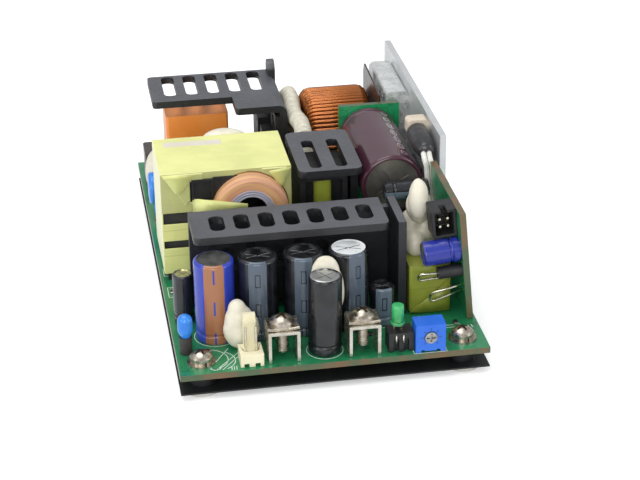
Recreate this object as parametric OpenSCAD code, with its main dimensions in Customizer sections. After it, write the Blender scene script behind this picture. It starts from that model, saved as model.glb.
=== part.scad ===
// Open frame power supply on a 5 x 3 inch board.
// The axes: X runs along the output edge, Y from the output edge to the input
// edge, Z up. The origin is the middle of the board's outline, on the plane
// that the four spacers stand on. Inside place() the modules count from the
// front left corner of the board's top face.

/* [Board] */
// Width of the board, along the output edge
board_w = 76.2; // [74:0.1:82]
// Length of the board, from the output edge to the input edge
board_l = 127; // [125:0.5:135]
// Thickness of the board
board_t = 1.6; // [1:0.1:2.4]
// Distance from a fixing hole's centre to the two nearest edges
hole_inset = 5.7; // [5:0.1:6]
// Diameter of the fixing holes in the board
hole_d = 3.5; // [3.2:0.1:4]
// Thickness of the insulating sheet below the board
sheet_t = 0.4; // [0.2:0.1:0.8]
// Clear height between the sheet and the board
under_gap = 3.5; // [3:0.1:6]
// Diameter of the spacers' feet
foot_d = 9.2; // [8:0.1:10]
// Thickness of the spacers' feet
foot_t = 1.5; // [1:0.1:3]
// Diameter of the spacers' necks
neck_d = 6; // [5:0.1:7]
// Diameter of the threaded bore in each spacer
thread_d = 2.5; // [2.4:0.1:2.8]
// Length of the solder joints below the board
joint_h = 1.6; // [1:0.1:2.4]

/* [Heatsinks] */
// Sheet thickness of the three black heatsinks
sink_t = 2; // [1.5:0.1:2.5]
// Height of the front heatsink above the board
front_sink_h = 26; // [25:0.5:30]
// Width of the front heatsink's slotted flange
front_flange_w = 48.6; // [46:0.1:49]
// Number of slots in the front flange
front_slots = 7; // [3:1:7]
// Distance between the slots of the front and rear flanges
slot_pitch = 6.18; // [5:0.01:6.3]
// Width of the slots in the front and rear flanges
slot_w = 3.8; // [3:0.1:4.4]
// Length of the slots in the front flange
front_slot_l = 8.2; // [5:0.1:9]
// Height of the middle and rear heatsinks above the board
tall_sink_h = 30; // [30:0.5:36]
// Number of slots in the rear flange
rear_slots = 5; // [3:1:5]
// Length of the slots in the rear flange
rear_slot_l = 14.4; // [10:0.1:16]
// Length of the two slots in the middle flange
middle_slot_l = 18; // [12:0.1:20]
// Height of the aluminium plate along the right side
plate_h = 35.5; // [33:0.5:40]
// Thickness of the aluminium plate
plate_t = 1.8; // [1.5:0.1:2]
// Length of the aluminium plate
plate_l = 72.5; // [60:0.5:75]

/* [Capacitors] */
// Diameter of the tall output capacitors
tall_cap_d = 10; // [8:0.1:10]
// Height of the tall output capacitors
tall_cap_h = 21.6; // [16:0.1:22.5]
// Diameter of the sleeved capacitor at the front
front_cap_d = 8.2; // [6:0.1:8.3]
// Height of the sleeved capacitor at the front
front_cap_h = 20.4; // [14:0.1:22]
// Diameter of the bulk capacitor
bulk_d = 16.6; // [15.5:0.1:17]
// Length of the bulk capacitor
bulk_l = 34.2; // [30:0.1:34.5]
// Height of the bulk capacitor's axis above the board
bulk_z = 22.4; // [21:0.1:23.5]
// Width of the film capacitor
film_w = 17.8; // [15:0.1:18]
// Depth of the film capacitor
film_d = 11.5; // [8:0.1:12]
// Height of the film capacitor
film_h = 24; // [18:0.1:26]

/* [Magnetics] */
// Width of the main transformer over its tape
trafo_w = 34; // [32:0.1:34.5]
// Depth of the main transformer over its tape
trafo_d = 23.2; // [22:0.1:24]
// Height of the main transformer's top above the board
trafo_h = 30.5; // [29:0.1:32]
// Outer diameter of the transformer's coil
coil_d = 20; // [18:0.1:20]
// Radius of the choke over its wire
choke_r = 14.8; // [13.5:0.1:14.9]
// Width of the choke over its wire
choke_w = 18.8; // [15:0.1:18.9]
// Diameter of the choke's wire
choke_wire = 1.15; // [0.8:0.05:1.15]
// Number of turns on the choke
choke_turns = 36; // [16:1:36]

/* [Front edge] */
// Height of the fan header's locking tab
tab_h = 11.9; // [9:0.1:13]
// Width of the output terminals
terminal_w = 7.8; // [7:0.1:8]
// Height of the output terminals' bridges
terminal_h = 8.2; // [6:0.1:9]
// Diameter of the lamp
lamp_d = 3.2; // [3:0.1:4]
// Height of the lamp's holder
holder_h = 5.1; // [4:0.1:6.4]
// Width of the output trimmer
trimmer_w = 7.4; // [6:0.1:7.5]
// Height of the output trimmer
trimmer_h = 7.5; // [6.5:0.1:8]
// Depth of the output trimmer
trimmer_d = 4.9; // [4:0.1:5.2]
// Diameter of the trimmer's rotor
rotor_d = 3; // [2.6:0.1:4.4]

/* [Control board] */
// Length of the upright control board
control_l = 32.5; // [28:0.1:33]
// Height of the upright control board
control_h = 29.4; // [27:0.1:31]
// Thickness of the upright control board
control_t = 1.6; // [1:0.1:1.8]
// Lean of the control board towards the board's middle, in degrees
control_lean = 5.2; // [3:0.1:5.4]

/* [Hidden] */
$fn = 48;

// Smallest overlap that keeps a cut clean
eps = 0.01;
// Clearance between pieces that only sit beside each other
gap = 0.3;
// Height of the board's top face above the spacers' feet
board_top = foot_t + sheet_t + under_gap + board_t;
// Fixing holes, counted from the board's front left corner
holes = [for (x = [hole_inset, board_w - hole_inset], y = [hole_inset, board_l - hole_inset]) [x, y]];

// Clearance of a lead in its hole through the board
lead_clear = 0.15;
// Distance of the terminals' legs from the ends of their sides
leg_inset = 1.8;

// Front row, from the left
blue_cap_at = [10.8, 18];
tall_cap_at = [for (i = [0 : 2]) [21.6 + i * 11.3, 18]];
front_cap_at = [36.1, 6.2];
small_cap_at = [52.6, 17.8];
small_cap_d = 6.3;
small_cap_h = 10.4;
fan_header_at = [14.8, 1.2];
fan_header_size = [5.7, 6, 3.3];
terminal_at = [[21.7, 1.7], [41.4, 1.3]];
terminal_depth = 7.6;
terminal_t = 0.8;
holder_at = [51.2, 1.7];
holder_size = [6.2, 5, holder_h];
trimmer_at = [57.6, 0.3];
rotor_z = 4.1;
rotor_slot_w = 0.55;
left_cap_at = [3.9, 27.4];
left_cap_d = 5.2;
left_cap_h = 13.4;
bead_at = [2.6, 11];
bead_h = 4.6;

// Front heatsink: a plate across the board, a slotted flange towards the
// output edge and a wing at the right end
front_plate_y = 35.6;
front_sink_x = 6.5;
front_flange_d = 15.2;
front_wing_x = 57.3;
front_wing_d = 15.4;
front_slot_x = 13;

// Transformer, counted to its front left corner
trafo_at = [1, 49.4];
tape_t = 0.35;
fold_t = 0.3;
// Lowest and highest edges of the two bare bands between the tape's wraps
tape_bands = [[9.3, 11.4], [16.3, 19.4]];
coil_x = 24;
coil_z = 19.4;
coil_front = 3.6;
coil_l = 18;

// Middle heatsink and the inductor below its flange
middle_x = 36.5;
middle_w = 16.7;
middle_y = 45.4;
middle_l = 26;
middle_slot_w = 3.1;
inductor_size = [12.4, 16, 26.6];
inductor_at = [37.4, 49.5];

// Rear heatsink: its right side carries the upright plate
rear_w = 36.7;
rear_right = 40.3;
rear_x = rear_right - rear_w;
rear_y = board_l - 27.2;
rear_d = 19.6;
rear_ear_w = 14.3;
rear_ear_d = 9;
rear_slot_x = rear_x + 5.6;
rear_tab_h = 4.2;
rear_tab_l = 5.4;

// Input side
film_at = [7.3, board_l - 24];
fuse_at = [1.2, board_l - 18];
disc_at = [0.4, board_l - 38.5];
choke_at = [55.6, 100.7];
bundle_x = 43.3;
bundle_z = 25.6;
bundle_d = 5.2;
bundle_y = [76, 112];

// Bulk capacitor and its upright board
bulk_x = 61.8;
bulk_y = 49.4;
bulk_board_size = [17, 1.6, 31.2];
bulk_board_at = [53.7, bulk_y + bulk_l + gap];

// Right side, counted from the right edge
plate_x = board_w - 0.2 - plate_t;
plate_y = 49.2;

// Control board: its left face at the foot, and its front end
control_x = 72.5;
control_y = 14.6;

module place() {
    translate([-board_w / 2, -board_l / 2, board_top]) children();
}

// A round-cornered plate lying flat, its lower corner at the origin
module rounded_plate(size, r) {
    linear_extrude(size[2]) rounded_outline([size[0], size[1]], r);
}

module rounded_outline(size, r) {
    translate([r, 0]) square([size[0] - 2 * r, size[1]]);
    translate([0, r]) square([size[0], size[1] - 2 * r]);
    for (x = [r, size[0] - r], y = [r, size[1] - r]) translate([x, y]) circle(r);
}

// A slot with rounded corners, centred, running along Y
module slot(w, l) {
    translate([-w / 2, -l / 2]) rounded_outline([w, l], w * 0.42);
}

// Radial aluminium capacitor in a printed sleeve, standing on its rubber end:
// crimp groove near the foot, sleeve lip round the top, scored vent
module radial_capacitor(d, h, arms = 2) {
    lip = min(0.9, d * 0.09);
    score = 0.25;
    difference() {
        union() {
            cylinder(d = d - 0.8, h = 0.6);
            translate([0, 0, 0.5]) cylinder(d = d, h = h - 0.5 - lip);
            translate([0, 0, h - lip - eps]) cylinder(d = d - 2 * lip, h = lip + eps);
            translate([0, 0, h - lip]) rotate_extrude() translate([d / 2 - lip, 0]) circle(lip);
        }
        translate([0, 0, 2.4]) rotate_extrude() translate([d / 2 + 0.25, 0]) circle(0.6);
        translate([0, 0, h - score]) cylinder(d = d - 2 * lip, h = score + 1);
        for (a = [1 : arms]) rotate([0, 0, a * 180 / arms + 30])
            translate([-d * 0.3, -0.12, h - 2 * score]) cube([d * 0.6, 0.24, 1]);
    }
}

// Plastic power package with its metal tab, standing on three leads.
// Its back lies on the plane Y = 0 and the body faces -Y.
module power_package(lead_l = 3) {
    w = 10;
    body_h = 9;
    tab_h = 6.2;
    lead_w = 0.8;
    difference() {
        union() {
            translate([-w / 2, -4.4, lead_l]) cube([w, 4.4, body_h]);
            translate([-w / 2, -1.3, lead_l + body_h - eps]) cube([w, 1.3, tab_h]);
            for (i = [-1 : 1]) translate([i * 2.54 - lead_w / 2, -2.8, 0]) cube([lead_w, 0.5, lead_l + eps]);
        }
        translate([0, 1, lead_l + body_h + tab_h / 2]) rotate([90, 0, 0]) cylinder(d = 3.6, h = 4);
    }
}

// Pan head screw with a cross recess; the head's underside is at Z = 0
module pan_screw(head_d, head_h, shank_d, shank_l) {
    recess = head_h * 0.6;
    difference() {
        union() {
            intersection() {
                cylinder(d = head_d, h = head_h);
                translate([0, 0, head_h - head_d * 0.62]) sphere(d = head_d * 1.24);
            }
            translate([0, 0, -shank_l]) cylinder(d = shank_d, h = shank_l + eps);
        }
        for (a = [0, 90]) rotate([0, 0, a + 25])
            translate([-head_d * 0.28, -head_d * 0.06, head_h - recess]) cube([head_d * 0.56, head_d * 0.12, head_h]);
    }
}

module main_board() {
    color("#1f7a4f") place() translate([0, 0, -board_t]) difference() {
        cube([board_w, board_l, board_t]);
        for (p = holes) translate([p[0], p[1], -1]) cylinder(d = hole_d, h = board_t + 2);
        for (x = pin_x) translate([fan_header_at[0] + x, fan_header_at[1] + pin_y, -1])
            cylinder(d = pin_w + 0.2, h = board_t + 2);
        for (p = terminal_at, x = [0, terminal_w - terminal_t])
            translate([p[0] + x - lead_clear, p[1] + leg_inset - lead_clear, -1])
                cube([terminal_t + 2 * lead_clear, terminal_depth - 2 * (leg_inset - lead_clear), board_t + 2]);
    }
}

// Solder joints of the through-hole leads, below the board
joint_spots = [
    [16.4, 3.5], [18.9, 3.5], [22.2, 5.5], [29, 5.5], [34, 6.5], [38, 6.5], [41.9, 5.1], [48.7, 5.1], [52.8, 4], [55.4, 4],
    [59, 3], [61.3, 3], [63.6, 3], [8.5, 18], [13, 18], [19, 18], [24, 18], [30.4, 18], [35.4, 18], [41.6, 18],
    [46.7, 18], [51.4, 18], [54, 18], [3, 27.4], [5, 27.4], [62, 24], [70, 24], [66, 28], [6, 52], [12, 52],
    [18, 52], [24, 52], [30, 52], [6, 70], [12, 70], [18, 70], [24, 70], [30, 70], [40, 52], [48, 52],
    [40, 64], [48, 64], [9.5, film_at[1] + 6], [22.5, film_at[1] + 6],
    [14, board_l - 3.7], [18, board_l - 3.7], [22, board_l - 3.7], [50, 100], [61, 100], [58, 85]
];

module solder_joints() {
    color("#c8c8c4") place() for (p = joint_spots) translate([p[0], p[1], -board_t - joint_h]) {
        translate([0, 0, joint_h * 0.45]) cylinder(d = 1.9, h = joint_h * 0.55);
        cylinder(d = 0.8, h = joint_h * 0.5);
    }
}

module insulating_sheet() {
    color("#1b1b1d") translate([-board_w / 2, -board_l / 2, foot_t]) difference() {
        cube([board_w, board_l, sheet_t]);
        for (p = holes) translate([p[0], p[1], -1]) cylinder(d = neck_d + 0.2, h = sheet_t + 2);
    }
}

module corner_spacers() {
    color("#dcdcd8") translate([-board_w / 2, -board_l / 2, 0]) for (p = holes) translate([p[0], p[1], 0]) difference() {
        union() {
            cylinder(d = foot_d, h = foot_t);
            cylinder(d = neck_d, h = board_top - board_t);
        }
        translate([0, 0, -1]) cylinder(d = thread_d, h = board_top + 2);
        translate([0, 0, board_top - board_t - screw_hold - 0.1]) cylinder(d = thread_d + 0.2, h = board_top);
    }
}

washer_t = 0.5;
spring_t = 0.7;
screw_head_d = 5.6;
screw_head_h = 2.1;
// Depth to which the corner screws enter the spacers
screw_hold = 1.2;

module corner_washers() {
    color("#b9b7ae") place() for (p = holes) translate([p[0], p[1], 0]) {
        difference() {
            cylinder(d = 7, h = washer_t);
            translate([0, 0, -1]) cylinder(d = 3.1, h = 3);
        }
        translate([0, 0, washer_t]) difference() {
            cylinder(d = 5.4, h = spring_t);
            translate([0, 0, -1]) cylinder(d = 3.1, h = 3);
            rotate([0, 0, -70]) translate([0, -0.2, -1]) cube([4, 0.4, 3]);
        }
    }
}

module corner_screws() {
    color("#c4c2b8") place() for (p = holes) translate([p[0], p[1], washer_t + spring_t])
        pan_screw(screw_head_d, screw_head_h, thread_d - 0.1, washer_t + spring_t + board_t + screw_hold);
}

module fan_header() {
    size = fan_header_size;
    tab_w = 3.1;
    tab_t = 1.3;
    color("#e9e4cf") place() translate([fan_header_at[0], fan_header_at[1], 0]) {
        difference() {
            cube(size);
            for (x = [0.9, size[0] - 2.1]) translate([x, -1, -eps]) cube([1.2, size[1] + 2, 0.9]);
            for (x = pin_x) translate([x, pin_y, -1]) cylinder(d = pin_w + 0.04, h = 6);
        }
        translate([(size[0] - tab_w) / 2, size[1] - tab_t, size[2] - eps]) {
            cube([tab_w, tab_t, tab_h - size[2]]);
            translate([0, -0.5, tab_h - size[2] - 2.2]) cube([tab_w, 0.6, 1]);
        }
    }
}

pin_w = 0.62;
pin_x = [fan_header_size[0] / 2 - 1.27, fan_header_size[0] / 2 + 1.27];
pin_y = 2.3;
control_pin_pitch = 2;
control_header_y = 7;
control_header_z = 25.7;
control_header_size = [6.2, 6.4, 7.6];

module header_pins() {
    color("#d9d6c8") {
        place() for (x = pin_x) translate([fan_header_at[0] + x, fan_header_at[1] + pin_y, -board_t])
            cylinder(d = pin_w, h = tab_h - 2 + board_t);
        on_control_board() translate([-control_header_size[0] / 2, control_header_y, control_header_z])
            for (x = [-1, 1], z = [-1, 1])
                translate([x * control_pin_pitch / 2, 1 - control_header_size[1] / 2, z * control_pin_pitch / 2])
                    rotate([-90, 0, 0]) cylinder(d = pin_w, h = control_header_size[1] - 1);
    }
}

// Bridge folded from strip: two legs through the board and a tapped top
module terminal_bridge() {
    leg_l = board_t;
    difference() {
        translate([0, 0, -leg_l]) cube([terminal_w, terminal_depth, terminal_h + leg_l]);
        translate([terminal_t, -1, -leg_l - 1]) cube([terminal_w - 2 * terminal_t, terminal_depth + 2, terminal_h + leg_l + 1 - terminal_t]);
        for (x = [-1, terminal_w - terminal_t - 1], y = [-1, terminal_depth - leg_inset])
            translate([x, y, -leg_l - 1]) cube([terminal_t + 2, leg_inset + 1, leg_l + 1]);
        translate([terminal_w / 2, terminal_depth / 2, 0]) cylinder(d = 3.1, h = terminal_h + 1);
    }
}

module terminal_brackets() {
    color("#c9c6bb") place() for (p = terminal_at) translate([p[0], p[1], 0]) terminal_bridge();
}

cup_t = 0.8;

module terminal_washers() {
    color("#bdbab0") place() for (p = terminal_at) translate([p[0], p[1], terminal_h]) difference() {
        union() {
            cube([terminal_w, terminal_depth, cup_t]);
            for (x = [0, terminal_w - 0.7]) translate([x, 0, 0]) cube([0.7, terminal_depth, cup_t + 0.8]);
        }
        translate([terminal_w / 2, terminal_depth / 2, -1]) cylinder(d = 3.1, h = 4);
    }
}

module terminal_screws() {
    color("#c4c2b8") place() for (p = terminal_at)
        translate([p[0] + terminal_w / 2, p[1] + terminal_depth / 2, terminal_h + cup_t])
            pan_screw(6.1, 2.3, 2.9, terminal_h + cup_t - 1.6);
}

module blue_output_capacitor() {
    color("#2f45b0") place() translate([blue_cap_at[0], blue_cap_at[1], 0])
        radial_capacitor(tall_cap_d, tall_cap_h, 0);
}

module output_capacitor(i) {
    color("#23252b") place() translate([tall_cap_at[i][0], tall_cap_at[i][1], 0])
        radial_capacitor(tall_cap_d, tall_cap_h, 2);
}

module output_capacitor_left() {
    output_capacitor(0);
}

module output_capacitor_middle() {
    output_capacitor(1);
}

module output_capacitor_right() {
    output_capacitor(2);
}

module front_sleeved_capacitor() {
    color("#1d1d20") place() translate([front_cap_at[0], front_cap_at[1], 0.1]) rotate([-1, 1, 0])
        radial_capacitor(front_cap_d, front_cap_h, 2);
}

module small_output_capacitor() {
    color("#23252b") place() translate([small_cap_at[0], small_cap_at[1], 0])
        radial_capacitor(small_cap_d, small_cap_h, 2);
}

module led() {
    lamp_z = 11.8;
    collar_z = 6.6;
    color("#2f9a4d") place() translate([holder_at[0] + 2.6, holder_at[1] + holder_size[1] / 2, 0]) {
        translate([0, 0, collar_z]) cylinder(d = lamp_d + 0.6, h = 0.8);
        translate([0, 0, collar_z]) cylinder(d = lamp_d, h = lamp_z - collar_z - lamp_d / 2);
        for (x = [-1.27, 1.27]) translate([x - 0.25, -0.25, holder_h]) cube([0.5, 0.5, collar_z - holder_h + 0.1]);
        translate([0, 0, lamp_z - lamp_d / 2]) sphere(d = lamp_d);
    }
}

module led_holder() {
    size = holder_size;
    groove = 1.3;
    color("#202022") place() translate([holder_at[0], holder_at[1], 0]) difference() {
        cube(size);
        for (x = [1.2, size[0] - 1.2 - groove]) translate([x, -1, -1]) cube([groove, 2, size[2] - 0.6]);
    }
}

rotor_at = [trimmer_at[0] + trimmer_w / 2, trimmer_at[1], rotor_z];
rotor_depth = 0.9;
shaft_d = 1.6;
run_clear = 0.05;

module trimmer_body() {
    foot = 0.4;
    color("#2a62c8") place() difference() {
        translate([trimmer_at[0], trimmer_at[1], foot]) cube([trimmer_w, trimmer_d, trimmer_h - foot]);
        translate([rotor_at[0], rotor_at[1] - eps, rotor_z]) rotate([-90, 0, 0]) {
            cylinder(d = rotor_d + 0.3, h = rotor_depth + 0.1);
            cylinder(d = shaft_d + 2 * run_clear, h = 3);
        }
        for (x = [1.4, trimmer_w - 2.2]) translate([trimmer_at[0] + x, trimmer_at[1] - 1, -eps])
            cube([0.8, trimmer_d + 2, foot + 0.3]);
    }
    color("#2a62c8") place() for (x = [0, trimmer_w - 1.2], y = [0, trimmer_d - 1.2])
        translate([trimmer_at[0] + x, trimmer_at[1] + y, 0]) cube([1.2, 1.2, foot + eps]);
}

module trimmer_rotor() {
    color("#d8d8d4") place() translate([rotor_at[0], rotor_at[1] - 0.3, rotor_z]) rotate([-90, 0, 0]) difference() {
        union() {
            cylinder(d = rotor_d, h = rotor_depth + 0.2);
            cylinder(d = shaft_d, h = 3);
        }
        for (a = [0, 90]) rotate([0, 0, a])
            translate([-rotor_d * 0.38, -rotor_slot_w / 2, -1]) cube([rotor_d * 0.76, rotor_slot_w, 1.6]);
    }
}

module left_small_capacitor() {
    color("#1d1d20") place() translate([left_cap_at[0], left_cap_at[1], 0]) radial_capacitor(left_cap_d, left_cap_h, 2);
}

module ferrite_bead() {
    color("#4a4a4c") place() translate([bead_at[0], bead_at[1], 0]) cylinder(d = 3.2, h = bead_h);
}

module bead_capacitor() {
    bead_r = 1.85;
    color("#2478cf") place() translate([bead_at[0], bead_at[1], bead_h]) {
        cylinder(r1 = 1.2, r2 = bead_r, h = 1.6);
        translate([0, 0, 1.6]) cylinder(r = bead_r, h = 2.6);
        translate([0, 0, 4.2]) sphere(r = bead_r);
    }
}

module front_heatsink() {
    plate_w = front_wing_x + sink_t - front_sink_x;
    color("#2a2b2e") place() difference() {
        union() {
            translate([front_sink_x, front_plate_y - sink_t, 0]) cube([plate_w, sink_t, front_sink_h - sink_t]);
            translate([front_sink_x, front_plate_y - front_flange_d, front_sink_h - sink_t])
                rounded_flange([front_flange_w, front_flange_d, sink_t]);
            translate([front_wing_x, front_plate_y - front_wing_d, 0]) cube([sink_t, front_wing_d, front_sink_h]);
        }
        for (i = [0 : front_slots - 1])
            translate([front_slot_x + i * slot_pitch, front_plate_y - front_flange_d / 2, front_sink_h - sink_t - 1])
                linear_extrude(sink_t + 2) slot(slot_w, front_slot_l);
    }
}

// Flange with its two front corners rounded and its rear edge square
module rounded_flange(size) {
    r = 1.6;
    translate([0, r, 0]) cube([size[0], size[1] - r, size[2]]);
    translate([r, 0, 0]) cube([size[0] - 2 * r, size[1], size[2]]);
    for (x = [r, size[0] - r]) translate([x, r, 0]) cylinder(r = r, h = size[2]);
}

module output_rectifiers() {
    color("#161617") place() for (x = [16, 28, 40])
        translate([x, front_plate_y - sink_t, 0]) power_package();
}

module transformer_core() {
    inset = tape_t;
    color("#2b2a28") place() translate([trafo_at[0], trafo_at[1], 0]) difference() {
        translate([inset, inset + 0.6, trafo_foot]) cube([trafo_w - 2 * inset, trafo_d - 2 * inset - 0.6, trafo_h - trafo_foot - inset]);
        translate([coil_x - trafo_at[0], -1, coil_z]) rotate([-90, 0, 0]) cylinder(d = coil_d + 0.4, h = coil_l);
        translate([coil_x - trafo_at[0] - coil_d / 2 - 0.2, -1, coil_z - 15]) cube([coil_d + 0.4, coil_l, 15]);
        translate([7.2, -1, 17.6]) cube([12, 7, 10.4]);
    }
}

trafo_foot = 2;

module transformer_winding() {
    inner_d = 13.8;
    edge = 1.6;
    color("#d2945f") place() translate([coil_x, trafo_at[1] - coil_front, coil_z]) rotate([-90, 0, 0]) difference() {
        union() {
            translate([0, 0, edge]) cylinder(d = coil_d, h = coil_l - edge);
            cylinder(d = coil_d - 2 * edge, h = edge + eps);
            translate([0, 0, edge]) rotate_extrude() translate([coil_d / 2 - edge, 0]) circle(edge);
        }
        translate([0, 0, -1]) cylinder(d = inner_d, h = coil_l + 2);
    }
}

module transformer_bobbin() {
    hub_d = 13.4;
    color("#191919") place() {
        translate([coil_x, trafo_at[1] - coil_front + 1, coil_z]) rotate([-90, 0, 0]) difference() {
            cylinder(d = hub_d, h = coil_l - 1.2);
            translate([0, 0, -1]) cylinder(d = hub_d - 3, h = coil_l - 4);
        }
        translate([trafo_at[0] + 7.6, trafo_at[1] + 0.6, 22.2]) difference() {
            cube([5.4, 5.2, 5.6]);
            translate([1, -1, 1.2]) cube([3.2, 2.4, 3.2]);
        }
        translate([trafo_at[0] + 1, trafo_at[1] + 0.4, 0]) cube([trafo_w - 2, trafo_d - 0.8, trafo_foot]);
    }
}

// Tape wrapped round the transformer: closed on top and at the sides, cut
// away at the front where the coil shows, folded to points at the corners
module transformer_tape() {
    color("#e3e58f") place() translate([trafo_at[0], trafo_at[1], 0]) difference() {
        union() {
            translate([0, 0, trafo_foot]) cube([trafo_w, trafo_d, trafo_h - trafo_foot]);
            for (fold = [[1.4, 6.4, 11], [trafo_w - 1.2, trafo_w - 5.4, trafo_w - 7.6]])
                translate([0, eps, 0]) rotate([90, 0, 0]) linear_extrude(fold_t)
                    polygon([
                        [fold[0], trafo_h - tape_t], [fold[1], trafo_h - 9],
                        [fold[2], trafo_h - 3.4], [fold[2], trafo_h - tape_t]
                    ]);
        }
        translate([tape_t, tape_t, trafo_foot - 1])
            cube([trafo_w - 2 * tape_t, trafo_d - 2 * tape_t, trafo_h - trafo_foot + 1 - tape_t]);
        translate([7.6, -1, 22.2]) cube([12, 3, 5.8]);
        translate([coil_x - trafo_at[0], -1, coil_z]) rotate([-90, 0, 0]) cylinder(d = coil_d + 0.4, h = 3);
        translate([coil_x - trafo_at[0] - coil_d / 2 - 0.2, -1, 1]) cube([coil_d + 0.4, 3, coil_z - 1]);
        for (band = tape_bands) translate([tape_t, -1, band[0]]) cube([9, 3, band[1] - band[0]]);
    }
}

module middle_heatsink() {
    plate_len = 16;
    right = middle_x + middle_w;
    color("#2a2b2e") place() {
        difference() {
            translate([middle_x, middle_y, tall_sink_h - sink_t]) rounded_plate([middle_w, middle_l, sink_t], 2);
            for (x = [4.9, 11.6]) translate([middle_x + x, middle_y + middle_l / 2 - 2, tall_sink_h - sink_t - 1])
                linear_extrude(sink_t + 2) slot(middle_slot_w, middle_slot_l);
        }
        translate([right - sink_t, middle_y + middle_l - 2.8 - plate_len, 0])
            cube([sink_t, plate_len, tall_sink_h - sink_t + eps]);
    }
}

module inductor_bobbin() {
    size = inductor_size;
    wall = 1.3;
    color("#1a1a1a") place() translate([inductor_at[0], inductor_at[1], 0]) {
        difference() {
            cube(size);
            translate([wall, -1, 3]) cube([size[0] - 2 * wall, size[1] + 2, size[2] - 3 - wall]);
        }
        translate([wall - eps, 3, 3 - eps]) cube([2.4, size[1] - 6, size[2] - 3 - wall + 2 * eps]);
        translate([size[0] - wall - 2.4 + eps, 3, 3 - eps]) cube([2.4, size[1] - 6, size[2] - 3 - wall + 2 * eps]);
    }
}

module inductor_winding() {
    size = inductor_size;
    color("#8f8a3c") place() translate([inductor_at[0] + 3.8, inductor_at[1] + 1.2, 3.1])
        rounded_plate([size[0] - 7.6, size[1] - 2.4, size[2] - 4.6], 1.6);
}

// Section across the rear heatsink's bend: flange, bend and upright plate
module rear_section(flange_w) {
    bend = 2.4;
    translate([-flange_w, -sink_t]) square([flange_w - bend, sink_t]);
    translate([-bend, -bend]) intersection() {
        difference() {
            circle(bend);
            circle(bend - sink_t);
        }
        square(bend);
    }
    translate([-sink_t, -tall_sink_h]) square([sink_t, tall_sink_h - bend]);
}

module rear_heatsink() {
    corner = 1.2;
    ear_y = rear_y - rear_ear_d;
    tab_z = tall_sink_h - 4;
    color("#2a2b2e") place() {
        difference() {
            union() {
                translate([rear_x + rear_w, rear_y + rear_d, tall_sink_h]) rotate([90, 0, 0])
                    linear_extrude(rear_d) rear_section(rear_w);
                translate([rear_x + rear_w, rear_y + eps, tall_sink_h]) rotate([90, 0, 0])
                    linear_extrude(rear_ear_d + eps) rear_section(rear_ear_w);
            }
            for (i = [0 : rear_slots - 1])
                translate([rear_slot_x + i * slot_pitch, rear_y + rear_d / 2 + 1.6, tall_sink_h - sink_t - 1])
                    linear_extrude(sink_t + 2) slot(slot_w - 0.2, rear_slot_l);
            for (spot = [[rear_x, rear_y, 0], [rear_x, rear_y + rear_d, -90], [rear_x + rear_w - rear_ear_w, ear_y, 0]])
                translate([spot[0], spot[1], tall_sink_h - sink_t - 1]) rotate([0, 0, spot[2]])
                    corner_cut(corner, sink_t + 2);
        }
        translate([rear_x + rear_w - sink_t, rear_y + rear_d - rear_tab_l - 0.4, tab_z]) rear_tab();
    }
}

// What a rounded corner leaves of a square one, for a corner facing -X -Y
module corner_cut(r, h) {
    difference() {
        translate([-1, -1, 0]) cube([r + 1, r + 1, h]);
        translate([r, r, -1]) cylinder(r = r, h = h + 2);
    }
}

// Ear that stands up past the bend, with a round top
module rear_tab() {
    h = rear_tab_h + 4;
    cube([sink_t, rear_tab_l, h - rear_tab_l / 2]);
    translate([0, rear_tab_l / 2, h - rear_tab_l / 2]) rotate([0, 90, 0]) cylinder(d = rear_tab_l, h = sink_t);
}

module bridge_transistors() {
    color("#161617") place() for (y = [rear_y - 3.8, rear_y + 11])
        translate([rear_x + rear_w - sink_t, y, 0]) rotate([0, 0, -90]) power_package(11.5);
}

module film_capacitor() {
    r = 0.8;
    color("#ee8a35") place() translate([film_at[0], film_at[1], 0]) {
        translate([0.8, 0.8, 0]) cube([film_w - 1.6, film_d - 1.6, 0.6]);
        translate([0, 0, 0.5]) rounded_plate([film_w, film_d, film_h - 0.5], r);
    }
}

module disc_capacitor() {
    color("#2a6fd0") place() translate([disc_at[0], disc_at[1], 9]) {
        translate([0.9, 0, 0]) rotate([0, 90, 0]) cylinder(d = 9, h = 2);
        for (x = [0.9, 2.9]) translate([x, 0, 0]) rotate([0, 90, 0]) rotate_extrude() translate([3.6, 0]) circle(0.9);
        for (x = [0, 2.9]) translate([x, 0, 0]) rotate([0, 90, 0]) cylinder(d = 7.2, h = 0.9);
        for (y = [-2.5, 2.5]) translate([1.9, y, -9]) cylinder(d = 0.9, h = 5.6);
    }
}

module sleeved_wire_bundle() {
    r = bundle_d / 2;
    color("#e6e2d2") place() {
        translate([bundle_x, bundle_y[0], bundle_z]) rotate([-90, 0, 0]) cylinder(r = r, h = bundle_y[1] - bundle_y[0]);
        for (y = bundle_y) translate([bundle_x, y, bundle_z]) sphere(r);
        for (y = bundle_y) translate([bundle_x, y, 0]) cylinder(r = r - 0.4, h = bundle_z);
    }
}

// Ring core with square edges, its axis along X
module ring_core(outer, inner, w) {
    rotate([0, 90, 0]) difference() {
        translate([0, 0, -w / 2]) cylinder(r = outer, h = w);
        translate([0, 0, -w / 2 - 1]) cylinder(r = inner, h = w + 2);
    }
}

// One turn of wire round the ring core's section, drawn as a flat loop
module ring_turn(outer, inner, w, wire) {
    translate([-w / 2, 0, inner]) rotate([90, 0, 0]) translate([0, 0, -wire / 2]) linear_extrude(wire) difference() {
        rounded_outline([w, outer - inner], wire * 1.6);
        translate([wire, wire]) square([w - 2 * wire, outer - inner - 2 * wire]);
    }
}

choke_hole_r = 7.2;

module choke_core() {
    color("#5a5f63") place() translate([choke_at[0], choke_at[1], choke_r + 0.1])
        ring_core(choke_r - choke_wire - 0.12, choke_hole_r + choke_wire + 0.12, choke_w - 2 * choke_wire - 0.24);
}

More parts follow.
